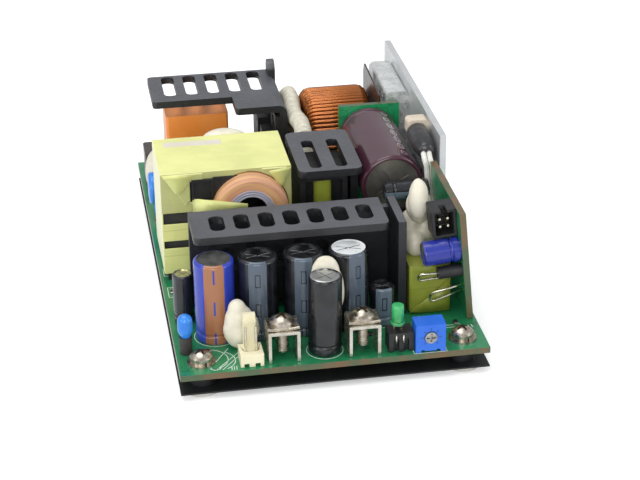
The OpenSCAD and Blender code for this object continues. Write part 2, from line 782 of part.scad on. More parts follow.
module choke_winding() {
    color("#b86a2c") place() translate([choke_at[0], choke_at[1], choke_r + 0.1])
        for (i = [0 : choke_turns - 1]) rotate([(i + 0.5) * 360 / choke_turns, 0, 0])
            ring_turn(choke_r, choke_hole_r, choke_w, choke_wire);
}

module bulk_capacitor() {
    color("#4a2434") place() translate([bulk_x, bulk_y + bulk_l, bulk_z]) rotate([90, 0, 0])
        radial_capacitor(bulk_d, bulk_l, 2);
}

module bulk_capacitor_board() {
    color("#1f8a5a") place() translate([bulk_board_at[0], bulk_board_at[1], 0]) cube(bulk_board_size);
}

module side_heat_plate() {
    color("#dadcdd") place() translate([plate_x, plate_y, 0]) cube([plate_t, plate_l, plate_h]);
}

module foil_wrapped_rectifier() {
    w = 6.6;
    color("#c9cccb") place() translate([plate_x - w, 87.4, 0]) {
        for (y = [2 : 6.5 : 22]) translate([w / 2 - 0.5, y, 0]) cube([1, 0.8, 19]);
        translate([0, 0, 18]) rounded_block([w, 24.5, 15], 1.6);
    }
}

// A block whose four long edges along Y are rounded
module rounded_block(size, r) {
    translate([0, size[1], 0]) rotate([90, 0, 0]) linear_extrude(size[1]) rounded_outline([size[0], size[2]], r);
}

module insulating_strip() {
    color("#2a2220") place() translate([65.5, 86.6, 0]) rotate([90, 0, 90]) linear_extrude(0.5)
        polygon([[0, 0], [23, 0], [23, 31.5], [22, 33.8], [0, 32.6]]);
}

module boost_transistors() {
    color("#161617") place() for (y = [60, 74])
        translate([plate_x, y, 0]) rotate([0, 0, -90]) power_package(2.2);
}

switch_d = 6;
switch_at = [plate_x - gap - switch_d / 2, plate_y + 0.7, plate_h - 4.1];
switch_l = 11.8;
switch_end = switch_at[1] + switch_l;

module thermal_switch() {
    nose_l = 3;
    color("#202023") place() translate(switch_at) rotate([-90, 0, 0]) {
        cylinder(d1 = 3, d2 = switch_d, h = nose_l);
        translate([0, 0, nose_l]) cylinder(d = switch_d, h = switch_l - nose_l);
    }
}

module retaining_strap() {
    color("#d9cdb8") place() translate([plate_x - 5.8, switch_end + 0.2, switch_at[2] - 1.1]) rounded_block([5.8, 4, 4.6], 1.2);
}

module white_leads() {
    d = 1.3;
    x = plate_x - 0.25 - d / 2;
    bend_z = switch_at[2] - switch_d / 2 - d / 2 - 0.1;
    color("#e9e7df") place() for (y = [0, 1.5]) translate([x, switch_at[1] + y - 0.3, 0]) {
        cylinder(d = d, h = bend_z);
        translate([0, 0, bend_z]) sphere(d = d);
    }
}

module lying_capacitor() {
    color("#23252b") place() translate([59, bulk_y - gap - 2.6, 22.2]) rotate([0, 90, 0]) radial_capacitor(5.2, 11.6, 2);
}

// The control board's own frame: its left face is the plane X = 0, its foot
// stands on the main board and Y counts from its front end
module on_control_board() {
    place() translate([control_x + 1.4, control_y, 0]) rotate([0, -control_lean, 0]) children();
}

module control_board() {
    color("#1f7a4f") on_control_board() translate([0, 0, 0.12]) cube([control_t, control_l, control_h]);
}

module control_header() {
    size = control_header_size;
    wall = 0.8;
    key_w = 1.6;
    color("#1b1b1c") on_control_board()
        translate([-size[0], control_header_y - size[1] / 2, control_header_z - size[2] / 2]) difference() {
        cube(size);
        translate([wall, -1, wall]) cube([size[0] - 2 * wall, size[1] - wall + 1, size[2] - 2 * wall]);
        translate([(size[0] - key_w) / 2, -1, size[2] - wall - 1]) cube([key_w, 4.4, wall + 2]);
        for (x = [-1, 1], z = [-1, 1])
            translate([size[0] / 2 + x * control_pin_pitch / 2, 0, size[2] / 2 + z * control_pin_pitch / 2])
                rotate([-90, 0, 0]) cylinder(d = pin_w + 0.04, h = size[1] + 1);
    }
}

module control_capacitor() {
    color("#2f45b0") on_control_board() translate([0, 3.4, 18.6]) rotate([0, -90, 0]) radial_capacitor(6.3, 9.4, 0);
}

module control_chips() {
    color("#1b1b1c") on_control_board() {
        translate([-6.2, 2, 13.4]) rotate([0, 90, 0]) cylinder(d = 3.2, h = 6.2);
        for (p = [[14, 17, 5], [14, 8, 5], [23, 10, 7]]) translate([-1.4, p[0], p[1]]) cube([1.4, p[2], 6]);
        for (p = [[6, 8, 4], [22, 22, 5.5], [12, 14, 3]]) translate([control_t, p[0], p[1]]) cube([0.9, p[2], p[2]]);
    }
}

module wire_links() {
    d = 0.8;
    // Height and reach of each hairpin of wire
    links = [[6.4, 11], [10, 8]];
    color("#c9c9c4") on_control_board() for (link = links) {
        for (y = [0.8, 4]) translate([-link[1], y, link[0]]) rotate([0, 90, 0]) cylinder(d = d, h = link[1]);
        translate([-link[1], 0.8, link[0]]) rotate([-90, 0, 0]) cylinder(d = d, h = 3.2);
        for (y = [0.8, 4]) translate([-link[1], y, link[0]]) sphere(d = d);
    }
}

standby_size = [10.6, 11, 13.4];
standby_at = [60.1, 19.6];

module standby_transformer() {
    color("#9aa03e") place() translate([standby_at[0], standby_at[1], 0]) {
        translate([0.6, 0.6, 0]) cube([standby_size[0] - 1.2, standby_size[1] - 1.2, 1.2]);
        translate([0, 0, 1]) rounded_plate([standby_size[0], standby_size[1], standby_size[2] - 1], 0.6);
    }
}

// Beads of silicone that hold tall pieces: [x, y, z, radius, height]
bead_spots = [
    [16.2, 11.2, 0, 3.4, 9.6], [37.5, 12.1, 0, 1.2, 18.6], [21, 76.2, 22, 3.4, 7],
    [3, film_at[1] + 1.6, 0, 2.4, 9], [65.5, 34, 0, 3, 17.5], [13, 25.6, 0, 2, 3]
];

module silicone_beads() {
    color("#ebe7da") place() for (b = bead_spots) translate([b[0], b[1], b[2]]) {
        cylinder(r = b[3], h = b[4]);
        translate([0, 0, b[4]]) sphere(r = b[3]);
    }
}

ac_header_size = [14, 6.6, 9];

module ac_input_header() {
    size = ac_header_size;
    wall = 0.9;
    color("#ecebe4") place() translate([11, board_l - size[1] - 0.4, 0]) {
        difference() {
            cube(size);
            translate([wall, wall, 2.2]) cube([size[0] - 2 * wall, size[1] - 2 * wall, size[2]]);
        }
        for (i = [-1, 1]) translate([size[0] / 2 + i * 3.96 - 0.55, size[1] / 2 - 0.55, 2]) cube([1.1, 1.1, 6]);
    }
}

module input_fuse() {
    color("#2a2320") place() translate([fuse_at[0], fuse_at[1], 0]) rounded_plate([5.4, 8.4, 10.6], 1);
}

module common_mode_choke() {
    ring_r = 6;
    hole_r = 2.9;
    w = 6.4;
    wire = 0.8;
    color("#6b4a2c") place() translate([30, 84, w / 2 + 0.1]) rotate([0, 90, 0]) {
        ring_core(ring_r - wire - 0.1, hole_r + wire + 0.1, w - 2 * wire - 0.2);
        for (side = [0, 180], i = [-3 : 3]) rotate([side + i * 16, 0, 0]) ring_turn(ring_r, hole_r, w, wire);
    }
}

main_board();
solder_joints();
insulating_sheet();
corner_spacers();
corner_screws();
corner_washers();
fan_header();
header_pins();
terminal_brackets();
terminal_washers();
terminal_screws();
blue_output_capacitor();
output_capacitor_left();
output_capacitor_middle();
output_capacitor_right();
front_sleeved_capacitor();
small_output_capacitor();
led();
led_holder();
trimmer_body();
trimmer_rotor();
left_small_capacitor();
bead_capacitor();
ferrite_bead();
front_heatsink();
output_rectifiers();
transformer_core();
transformer_bobbin();
transformer_winding();
transformer_tape();
middle_heatsink();
inductor_bobbin();
inductor_winding();
rear_heatsink();
bridge_transistors();
film_capacitor();
disc_capacitor();
sleeved_wire_bundle();
choke_core();
choke_winding();
bulk_capacitor();
bulk_capacitor_board();
side_heat_plate();
foil_wrapped_rectifier();
insulating_strip();
boost_transistors();
thermal_switch();
retaining_strap();
white_leads();
lying_capacitor();
control_board();
control_header();
control_capacitor();
control_chips();
wire_links();
standby_transformer();
silicone_beads();
ac_input_header();
input_fuse();
common_mode_choke();
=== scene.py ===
import math
import bmesh
import bpy
from mathutils import Matrix, Vector, noise


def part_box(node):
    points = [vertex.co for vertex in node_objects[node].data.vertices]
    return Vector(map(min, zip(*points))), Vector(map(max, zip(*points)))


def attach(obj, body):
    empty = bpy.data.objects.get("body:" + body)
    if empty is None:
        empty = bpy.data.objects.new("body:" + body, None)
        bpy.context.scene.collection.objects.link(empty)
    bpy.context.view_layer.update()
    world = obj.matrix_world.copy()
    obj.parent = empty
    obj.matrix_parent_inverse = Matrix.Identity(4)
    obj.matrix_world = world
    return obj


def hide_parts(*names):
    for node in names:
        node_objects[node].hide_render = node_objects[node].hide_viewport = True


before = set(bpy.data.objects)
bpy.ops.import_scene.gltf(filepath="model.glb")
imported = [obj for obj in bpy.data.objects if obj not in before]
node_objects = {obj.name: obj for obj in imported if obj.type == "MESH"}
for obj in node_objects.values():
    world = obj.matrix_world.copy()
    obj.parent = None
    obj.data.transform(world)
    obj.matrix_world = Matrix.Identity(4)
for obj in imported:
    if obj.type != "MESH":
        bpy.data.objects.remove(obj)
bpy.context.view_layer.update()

# Every size below is in millimetres. MM brings it to the scene's metres.
MM = 0.001
STATIC_BODY = "supply"
WORLD_LEVEL = 0.58
FLOOR_LIFT = 0.35
CAMERA_PLACE = (-65.55, -435.74, 229.18)
CAMERA_TURN = (9.40, 26.60, -0.62)


# --- Places, taken from the frame ---------------------------------------------------------------

class Place:
    """The box of one node of the frame, in millimetres."""

    def __init__(self, node):
        low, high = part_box(node)
        self.low, self.high = low / MM, high / MM
        self.size = self.high - self.low
        self.middle = (self.low + self.high) / 2

    def at(self, x, y, z):
        """The point at these shares of the box, 0 at its low side and 1 at its high side."""
        return Vector((self.low.x + x * self.size.x, self.low.y + y * self.size.y,
                       self.low.z + z * self.size.z))


board = Place("main_board")
board_top = board.high.z
front_edge = board.low.y
left_edge = board.low.x


def on_board(x, y, z=0.0):
    """A point counted from the front left corner of the board's top face."""
    return Vector((left_edge + x, front_edge + y, board_top + z))


# --- Finishes -----------------------------------------------------------------------------------

def shade(code):
    """A colour as a paint maker writes it, turned into the light that it gives back."""
    parts = [int(code[i:i + 2], 16) / 255 for i in (1, 3, 5)]
    return tuple(p / 12.92 if p <= 0.04045 else ((p + 0.055) / 1.055) ** 2.4 for p in parts) + (1.0,)


class Finish:
    """One material. Its patterns run in millimetres of the part's own frame."""

    def __init__(self, name, colour, rough=0.5, metal=0.0, coat=0.0, level=0.5):
        self.material = bpy.data.materials.new(name)
        self.material.use_nodes = True
        self.tree = self.material.node_tree
        self.tree.nodes.clear()
        self.surface = self.tree.nodes.new("ShaderNodeBsdfPrincipled")
        output = self.tree.nodes.new("ShaderNodeOutputMaterial")
        self.tree.links.new(self.surface.outputs[0], output.inputs[0])
        where = self.tree.nodes.new("ShaderNodeTexCoord")
        self.mm = self.mapped(where.outputs["Object"], scale=(1 / MM,) * 3)
        self.facing = self.tree.nodes.new("ShaderNodeNewGeometry").outputs["Normal"]
        self.surface.inputs["Metallic"].default_value = metal
        self.surface.inputs["Roughness"].default_value = rough
        self.surface.inputs["Specular IOR Level"].default_value = level
        self.surface.inputs["Coat Weight"].default_value = coat
        self.surface.inputs["Coat Roughness"].default_value = 0.08
        self.surface.inputs["Base Color"].default_value = shade(colour)
        self.normal = None

    def feed(self, socket, value):
        if isinstance(value, bpy.types.NodeSocket):
            self.tree.links.new(value, socket)
        else:
            socket.default_value = value

    def node(self, kind, values=None, **settings):
        made = self.tree.nodes.new("ShaderNode" + kind)
        for key, value in settings.items():
            setattr(made, key, value)
        for key, value in (values or {}).items():
            self.feed(made.inputs[key], value)
        return made

    def mapped(self, vector, place=(0, 0, 0), turn=(0, 0, 0), scale=(1, 1, 1)):
        return self.node("Mapping",
                         {"Vector": vector, "Location": place, "Rotation": turn, "Scale": scale}).outputs[0]

    def times(self, a, b):
        return self.sum("MULTIPLY", a, b)

    def below(self, a, b):
        return self.sum("LESS_THAN", a, b)

    def size_of(self, a):
        return self.sum("ABSOLUTE", a)

    def sum(self, kind, a, b=0.0, c=0.0):
        return self.node("Math", {0: a, 1: b, 2: c}, operation=kind).outputs[0]

    def axes(self, vector):
        return self.node("SeparateXYZ", {0: vector}).outputs

    def clouds(self, size, detail=2.0, stretch=(1, 1, 1)):
        """Soft random light and dark, from 0 to 1, with patches of about this size."""
        vector = self.mapped(self.mm, scale=tuple(s / size for s in stretch))
        return self.node("TexNoise", {"Vector": vector, "Scale": 1.0, "Detail": detail}).outputs[0]

    def cells(self, size, feature="F1", distance="EUCLIDEAN"):
        vector = self.mapped(self.mm, scale=(1 / size,) * 3)
        return self.node("TexVoronoi", {"Vector": vector, "Scale": 1.0}, feature=feature, distance=distance)

    def span(self, value, low, high, to_low=0.0, to_high=1.0):
        """value, moved from the range low to high onto the range to_low to to_high."""
        values = {"Value": value, "From Min": low, "From Max": high, "To Min": to_low, "To Max": to_high}
        return self.node("MapRange", values).outputs[0]

    def between(self, value, low, high):
        """1 where value lies between low and high, and 0 elsewhere."""
        return self.sum("MULTIPLY", self.sum("GREATER_THAN", value, low), self.sum("LESS_THAN", value, high))

    def over(self, under, top, share):
        """The colour under, with the colour top laid over it by share."""
        mix = self.tree.nodes.new("ShaderNodeMix")
        mix.data_type = "RGBA"
        self.feed(mix.inputs[0], share)
        self.feed(mix.inputs[6], under)
        self.feed(mix.inputs[7], shade(top) if isinstance(top, str) else top)
        return mix.outputs[2]

    def colour(self, value):
        self.feed(self.surface.inputs["Base Color"], shade(value) if isinstance(value, str) else value)
        return value

    def rough(self, value):
        self.feed(self.surface.inputs["Roughness"], value)

    def relief(self, height, depth):
        """Raises and sinks the surface by height times depth."""
        values = {"Height": height, "Distance": depth * MM, "Strength": 1.0}
        if self.normal is not None:
            values["Normal"] = self.normal
        self.normal = self.node("Bump", values).outputs[0]
        self.feed(self.surface.inputs["Normal"], self.normal)

    def up(self):
        return self.axes(self.facing)[2]


def mottled(finish, colour, other, size, share=0.5):
    """Lays uneven patches of another tone over a colour and returns the result."""
    patches = finish.times(finish.span(finish.clouds(size, 3.0), 0.35, 0.7), share)
    return finish.over(shade(colour) if isinstance(colour, str) else colour, other, patches)


def moulded_plastic(name, colour, worn, rough=0.45, grain=0.35):
    finish = Finish(name, colour, rough)
    finish.colour(mottled(finish, colour, worn, 5.0))
    finish.rough(finish.span(finish.clouds(1.6), 0.3, 0.7, rough - 0.08, rough + 0.1))
    finish.relief(finish.clouds(grain, 3.0), 0.03)
    return finish.material


def metal_finish(name, colour, dull, rough=0.25, wear=2.4, scratches=True):
    finish = Finish(name, colour, rough, metal=1.0)
    finish.colour(mottled(finish, colour, dull, wear, 0.7))
    finish.rough(finish.span(finish.clouds(0.9, 4.0), 0.3, 0.7, rough - 0.08, rough + 0.16))
    if scratches:
        finish.relief(finish.clouds(0.5, 2.0, (1.0, 8.0, 1.0)), 0.012)
    return finish.material


def anodised_black():
    """Black anodised sheet: satin, greyer where it is rubbed, with specks of dust, and painted shade on its
    upright faces.
    """
    finish = Finish("anodised_black", "#3a3a3e", 0.42, level=0.6)
    base = mottled(finish, "#4a4b50", "#5b5c62", 9.0, 0.6)
    specks = finish.below(finish.cells(1.7).outputs["Distance"], 0.045)
    specks = finish.times(specks, finish.sum("GREATER_THAN", finish.clouds(3.0), 0.52))
    base = finish.over(base, "#77777c", specks)
    # Painted shade: faces that turn away from up are darkened towards #202024.
    side = finish.span(finish.up(), 0.5, 0.1)
    finish.colour(finish.over(base, "#202024", side))
    finish.rough(finish.span(finish.clouds(1.2, 4.0), 0.3, 0.7, 0.36, 0.5))
    finish.relief(finish.clouds(0.22, 3.0), 0.012)
    return finish.material


def solder_mask(name, green, dark, edge_axis=2):
    """Green lacquer over copper tracks, with plated holes, and bare laminate at the edges."""
    finish = Finish(name, green, 0.3, coat=0.35)
    tracks = finish.cells(3.4, "F1", "CHEBYCHEV").outputs["Distance"]
    lanes = finish.between(finish.sum("FRACT", finish.times(tracks, 2.3)), 0.40, 0.52)
    base = finish.over(shade(green), dark, finish.times(lanes, 0.75))
    base = mottled(finish, base, "#2f9163", 7.0, 0.5)
    holes = finish.cells(4.6).outputs["Distance"]
    base = finish.over(base, "#9fae92", finish.between(holes, 0.035, 0.06))
    # Painted shade: each plated hole gets a dark centre for the inside of the hole.
    base = finish.over(base, "#10241a", finish.below(holes, 0.035))
    face = finish.axes(finish.facing)[edge_axis]
    bare = finish.below(finish.size_of(face), 0.5)
    layers = finish.clouds(6.0, 2.0, (1.0, 1.0, 0.5))
    laminate = finish.over(shade("#46593a"), "#6b5436", finish.span(layers, 0.42, 0.6))
    finish.colour(finish.over(base, laminate, bare))
    finish.relief(finish.sum("SUBTRACT", 1.0, lanes), 0.03)
    return finish.material


def can_coords(finish, centre, along):
    """Turn, radius and run of a point on a can.

    An upright can's turn is 0 at the front, and a lying can's is 0 on top.
    """
    local = finish.axes(finish.mapped(finish.mm, place=tuple(-c for c in centre)))
    across = {"X": (1, 2, 0), "Y": (0, 2, 1), "Z": (0, 1, 2)}[along]
    u, v, run = (local[i] for i in across)
    ahead = finish.times(v, -1.0) if along == "Z" else v
    turn = finish.sum("ARCTAN2", u, ahead)
    radius = finish.sum("SQRT", finish.sum("ADD", finish.times(u, u), finish.times(v, v)))
    return turn, radius, run


def sleeve(name, node, along, body, stripe, stripe_turn, stripe_half, box_pitch=0.0, top="#b9bbb8",
           dark_top=False,
           mouth=1.0, box_ink="#1a1c20", outline=True, box_share=0.30, score="", lid_metal=0.9):
    """A capacitor's shrunk plastic sleeve, with its polarity stripe and the bare can at the open end."""
    place = Place(node)
    finish = Finish(name, body, 0.26, coat=0.25)
    turn, radius, run = can_coords(finish, place.middle, along)
    axis = "XYZ".index(along)
    length = place.size[axis]
    outer = min(place.size[i] for i in range(3) if i != axis) / 2
    offset = finish.size_of(finish.sum("SUBTRACT", turn, stripe_turn))
    on_stripe = finish.below(offset, stripe_half)
    paint = mottled(finish, body, "#3a3d46" if not dark_top else "#2b3a9c", 4.0, 0.35)
    marked = shade(stripe)
    if box_pitch:
        step = finish.sum("FRACT", finish.sum("DIVIDE", finish.sum("ADD", run, length), box_pitch))
        whole = finish.times(finish.between(step, 0.22, 0.66), finish.below(offset, stripe_half * box_share))
        if outline:
            inner = finish.times(finish.between(step, 0.255, 0.625),
                               finish.below(offset, stripe_half * 0.20))
            whole = finish.sum("SUBTRACT", whole, inner)
        marked = finish.over(marked, box_ink, whole)
    paint = finish.over(paint, marked, on_stripe)
    end = finish.between(finish.times(run, mouth), length / 2 - 0.75, length)
    bare = finish.times(end, finish.below(radius, outer * 0.84))
    lid = mottled(finish, top, "#6d6f70" if lid_metal > 0.5 else "#d2d5d6", 2.2, 0.5)
    if score:
        u, v = (finish.axes(finish.mapped(finish.mm, place=tuple(-c for c in place.middle)))[i]
                for i in range(2))
        for lean in (0.42, -0.30):
            away = finish.size_of(finish.sum("ADD", v, finish.times(u, lean)))
            line = finish.times(finish.below(away, 0.13), finish.below(radius, outer * 0.62))
            lid = finish.over(lid, score, line)
    finish.colour(finish.over(paint, lid, bare))
    if not dark_top:
        finish.feed(finish.surface.inputs["Metallic"], finish.times(bare, lid_metal))
    finish.rough(finish.span(bare, 0.0, 1.0, 0.22, 0.3 if not dark_top else 0.55))
    finish.relief(finish.clouds(1.8, 2.0), 0.05)
    return finish.material


def tape_finish(name, colour, shaded, pale, dull):
    """Polyester tape in flat wraps: fine creases, faint edges of the layers below, paler on its left faces,
    and painted shade on its front faces, strongest in the upper band.
    """
    finish = Finish(name, colour, 0.33, coat=0.15)
    base = mottled(finish, colour, shaded, 10.0, 0.45)
    z = finish.axes(finish.mm)[2]
    step = finish.sum("FRACT", finish.sum("DIVIDE",
                                          finish.sum("ADD", z, finish.times(finish.clouds(12.0), 1.2)), 7.3))
    edge = finish.below(step, 0.03)
    side = finish.span(finish.up(), 0.6, 0.2)
    base = finish.over(base, shaded, finish.times(finish.times(edge, side), 0.7))
    left = finish.span(finish.axes(finish.facing)[0], -0.6, -0.95)
    base = finish.over(base, pale, finish.times(left, 0.8))
    # Painted shade on the front faces: the colour dull covers them from 19.2 to 19.6 mm over the board
    # upwards, and blotches of the colour shaded cover all of them.
    front = finish.span(finish.axes(finish.facing)[1], -0.6, -0.95)
    upper_shade_band = finish.span(z, board_top + 19.2, board_top + 19.6)
    base = finish.over(base, dull, finish.times(finish.times(front, upper_shade_band), 0.8))
    base = finish.over(base, shaded,
                       finish.times(front, finish.span(finish.clouds(6.0, 3.0), 0.35, 0.7, 0.1, 0.5)))
    finish.colour(base)
    finish.relief(finish.clouds(4.0, 4.0), 0.25)
    finish.relief(finish.clouds(0.8, 2.0, (3.0, 1.0, 0.3)), 0.02)
    return finish.material


def ferrite_finish():
    finish = Finish("sintered_ferrite", "#2b2a29", 0.6)
    finish.colour(mottled(finish, "#2a2928", "#454340", 2.5))
    finish.relief(finish.clouds(0.25, 3.0), 0.05)
    return finish.material


def litz_finish(name, node, warm, rose, grey):
    """Bundled fine wire under a thin serving, whose strands change tone round the coil."""
    finish = Finish(name, warm, 0.42, coat=0.1)
    turn, radius, run = can_coords(finish, Place(node).middle, "Y")
    lay = finish.node("CombineXYZ", {0: finish.times(radius, 1.3), 1: finish.times(turn, 0.35),
                                     2: finish.times(run, 0.9)}).outputs[0]
    tone = finish.node("TexNoise", {"Vector": lay, "Scale": 1.0, "Detail": 1.0}).outputs[0]
    base = finish.over(shade(warm), rose, finish.span(tone, 0.45, 0.58))
    finish.colour(finish.over(base, grey, finish.span(tone, 0.62, 0.68, 0.0, 0.8)))
    finish.relief(finish.clouds(0.3, 3.0, (1.0, 4.0, 1.0)), 0.06)
    return finish.material


def copper_finish(name, colour, deep):
    finish = Finish(name, colour, 0.27, metal=0.75, coat=0.5)
    finish.colour(mottled(finish, colour, deep, 9.0, 0.5))
    finish.relief(finish.clouds(6.0, 2.0), 0.02)
    return finish.material


def silicone_finish(name, colour, shadow):
    """Set sealing silicone: cream, waxy and a little lumpy."""
    finish = Finish(name, colour, 0.4, coat=0.12)
    finish.surface.inputs["Subsurface Weight"].default_value = 0.15
    finish.surface.inputs["Subsurface Radius"].default_value = (0.0012, 0.001, 0.0007)
    finish.colour(mottled(finish, colour, shadow, 4.0, 0.6))
    finish.relief(finish.clouds(2.5, 3.0), 0.22)
    return finish.material


def foil_finish():
    """Thin foil pressed round a block: flat crushed facets with bright creases."""
    finish = Finish("pressed_foil", "#e2e4e3", 0.34, metal=0.55)
    finish.colour(mottled(finish, "#e4e6e5", "#c2c5c4", 3.6, 0.6))
    finish.rough(finish.span(finish.clouds(1.1, 3.0), 0.3, 0.7, 0.22, 0.5))
    finish.relief(finish.cells(3.6).outputs["Distance"], 0.45)
    finish.relief(finish.clouds(0.7, 4.0), 0.12)
    return finish.material


def sheet_aluminium():
    """Bare rolled sheet, with the fine lines of rolling along its length."""
    finish = Finish("rolled_aluminium", "#dcdedf", 0.34, metal=0.55)
    lines = finish.clouds(0.35, 3.0, (1.0, 0.05, 1.0))
    finish.colour(finish.over(mottled(finish, "#dfe1e2", "#c3c6c8", 8.0), "#b6b9bc",
                              finish.span(lines, 0.5, 0.75, 0.0, 0.6)))
    finish.relief(lines, 0.015)
    return finish.material


def lamp_finish():
    """Tinted clear epoxy: deeper green at the collar, with a painted highlight that makes it lighter towards
    the top, where light gathers.
    """
    place = Place("led")
    finish = Finish("tinted_epoxy", "#1f9a4c", 0.16, coat=0.5)
    z = finish.axes(finish.mm)[2]
    # Painted highlight: the green lightens from the bottom of the lamp up to its top.
    glow = finish.span(z, place.low.z, place.high.z)
    base = finish.over(shade("#14733a"), "#35b565", glow)
    finish.colour(mottled(finish, base, "#5fd08a", 1.2, 0.35))
    finish.surface.inputs["Transmission Weight"].default_value = 0.15
    finish.relief(finish.clouds(1.5), 0.02)
    return finish.material


def bulk_sleeve():
    """The large can's maroon sleeve: a chain of plain rings marks its negative side."""
    place = Place("bulk_capacitor")
    finish = Finish("maroon_sleeve", "#42202e", 0.24, coat=0.45)
    turn, radius, run = can_coords(finish, place.middle, "Y")
    outer = place.size.x / 2
    base = mottled(finish, "#4a2635", "#381926", 9.0, 0.5)
    pitch = 4.6
    ring_turn = 0.48
    step = finish.sum("SUBTRACT",
                      finish.sum("FRACT", finish.sum("DIVIDE", finish.sum("ADD", run, place.size.y), pitch)),
                      0.5)
    side = finish.sum("DIVIDE", finish.times(finish.sum("SUBTRACT", turn, ring_turn), outer), 2.6)
    far = finish.sum("SQRT", finish.sum("ADD", finish.times(side, side), finish.times(step, step)))
    chain = finish.below(finish.size_of(run), place.size.y * 0.42)
    for low, high in ((0.32, 0.39), (0.15, 0.21)):
        line = finish.times(finish.between(far, low, high), chain)
        base = finish.over(base, "#dcc8d0", finish.times(line, 0.8))
    end = finish.below(run, -place.size.y / 2 + 1.2)
    bare = finish.times(end, finish.below(radius, outer * 0.86))
    lid = mottled(finish, "#7f7c76", "#56544e", 5.0, 0.7)
    finish.colour(finish.over(base, lid, bare))
    finish.feed(finish.surface.inputs["Metallic"], finish.times(bare, 0.6))
    finish.relief(finish.clouds(6.0, 2.0), 0.10)
    return finish.material


def printed_white():
    finish = Finish("board_print", "#e6ece6", 0.55)
    finish.colour(mottled(finish, "#e3ebe4", "#a9c9b5", 1.4, 0.7))
    return finish.material


def label_finish():
    finish = Finish("blank_label", "#e9e2d4", 0.5, coat=0.1)
    finish.colour(mottled(finish, "#dcd6ca", "#cfc6b4", 6.0))
    finish.relief(finish.clouds(1.5, 3.0), 0.02)
    return finish.material


def film_box_finish():
    """Cast plastic box filled with resin: smooth, with a faint bloom, and a painted highlight on its upward
    faces.
    """
    finish = Finish("orange_case", "#ee8634", 0.34, coat=0.2)
    base = mottled(finish, "#f08a38", "#f79c54", 7.0, 0.6)
    # Painted highlight: upward-facing faces are lightened towards #ffa565.
    finish.colour(finish.over(base, "#ffa565", finish.span(finish.up(), 0.6, 0.95, 0.0, 0.8)))
    finish.relief(finish.clouds(0.3, 3.0), 0.015)
    return finish.material


def sleeving_finish():
    """Soft glass sleeving, wrinkled round the wires in it."""
    finish = Finish("cream_sleeving", "#e5e1d0", 0.6)
    finish.colour(mottled(finish, "#dedaca", "#bdb8a3", 2.0, 0.7))
    finish.relief(finish.clouds(0.9, 3.0, (0.6, 2.2, 1.0)), 0.18)
    finish.relief(finish.cells(0.35).outputs["Distance"], 0.03)
    return finish.material


def spacer_finish():
    """Pale moulded foot with a dark neck above it."""
    finish = Finish("spacer_nylon", "#cfcdc6", 0.45)
    foot_top = Place("insulating_sheet").low.z
    neck = finish.sum("GREATER_THAN", finish.axes(finish.mm)[2], foot_top + 0.1)
    finish.colour(finish.over(mottled(finish, "#cfcdc6", "#b4b1a8", 5.0), "#1c1c1e", neck))
    finish.rough(finish.span(finish.clouds(1.6), 0.3, 0.7, 0.38, 0.55))
    finish.relief(finish.clouds(0.35, 3.0), 0.03)
    return finish.material


def black_film():
    finish = Finish("black_film", "#161618", 0.5)
    finish.colour(mottled(finish, "#151517", "#232326", 12.0))
    finish.relief(finish.clouds(0.4, 3.0), 0.02)
    return finish.material


def shrink_film(name, colour, sheen):
    finish = Finish(name, colour, 0.3, coat=0.3)
    finish.colour(mottled(finish, colour, sheen, 2.5, 0.5))
    finish.relief(finish.clouds(1.6, 3.0, (1.0, 0.6, 2.0)), 0.16)
    return finish.material


nickel = metal_finish("nickel_plate", "#c9c0b2", "#857a6c", 0.26, 1.2)
tinned = metal_finish("tinned_strip", "#dcdad0", "#b3ac98", 0.28)
tinned_pin = metal_finish("tinned_pin", "#e2ddca", "#bdb69a", 0.22, scratches=False)
solder = metal_finish("bright_solder", "#cfd0cc", "#8c8d88", 0.2, 0.8)
mask_green = solder_mask("board_lacquer", "#1e7a4c", "#12563a")
mask_upright = solder_mask("upright_board_lacquer", "#23804f", "#12563a", edge_axis=0)
mask_bulk = solder_mask("bulk_board_lacquer", "#189257", "#0f6a40", edge_axis=1)
black_anodised = anodised_black()
ferrite = ferrite_finish()
black_moulding = moulded_plastic("black_moulding", "#1c1c1e", "#2c2c2f")
package_black = moulded_plastic("package_black", "#171719", "#26262a", 0.5)
cream_nylon = moulded_plastic("cream_nylon", "#ece5c6", "#d8cfa8", 0.4)
white_nylon = moulded_plastic("white_nylon", "#ecebe4", "#d3d1c6", 0.4)
trimmer_blue = moulded_plastic("trimmer_blue", "#2465d2", "#2f74e0", 0.38)
rotor_metal = metal_finish("rotor_metal", "#b9bab8", "#7d7d79", 0.36, 0.8)
blue_epoxy = shrink_film("dipped_blue_epoxy", "#1f78d8", "#3c92ea")
yellow_tape = tape_finish("yellow_tape", "#e9ea9a", "#c3c67c", "#eff0c8", "#a3a474")
# flap_tape is the same tape with lighter colours, so its painted front shade is faint and the flaps and
# tongue read brighter.
flap_tape = tape_finish("flap_tape", "#e2e592", "#cfd286", "#e6e8a8", "#dfe290")
olive_tape = tape_finish("olive_tape", "#9aa23a", "#7c8430", "#a9b04c", "#9aa23a")
litz = litz_finish("served_litz", "transformer_winding", "#d9a877", "#c98c74", "#d6c08a")
hub_tape = litz_finish("hub_tape", "transformer_winding", "#a9a6b0", "#8f90a4", "#c2a79c")
copper = copper_finish("enamelled_copper", "#bf7030", "#7c4219")
dark_copper = copper_finish("dark_enamel", "#8a5330", "#5d3219")
silicone = silicone_finish("set_silicone", "#e4dfce", "#cbc4ad")
strap_finish = silicone_finish("strap_silicone", "#ded2bf", "#c3b59d")
foil = foil_finish()
aluminium = sheet_aluminium()
green_lamp = lamp_finish()
maroon = bulk_sleeve()
print_white = printed_white()
label = label_finish()
orange_case = film_box_finish()
cream_sleeving = sleeving_finish()
black_sheet = black_film()
brown_film = shrink_film("brown_film", "#2d2320", "#45352e")
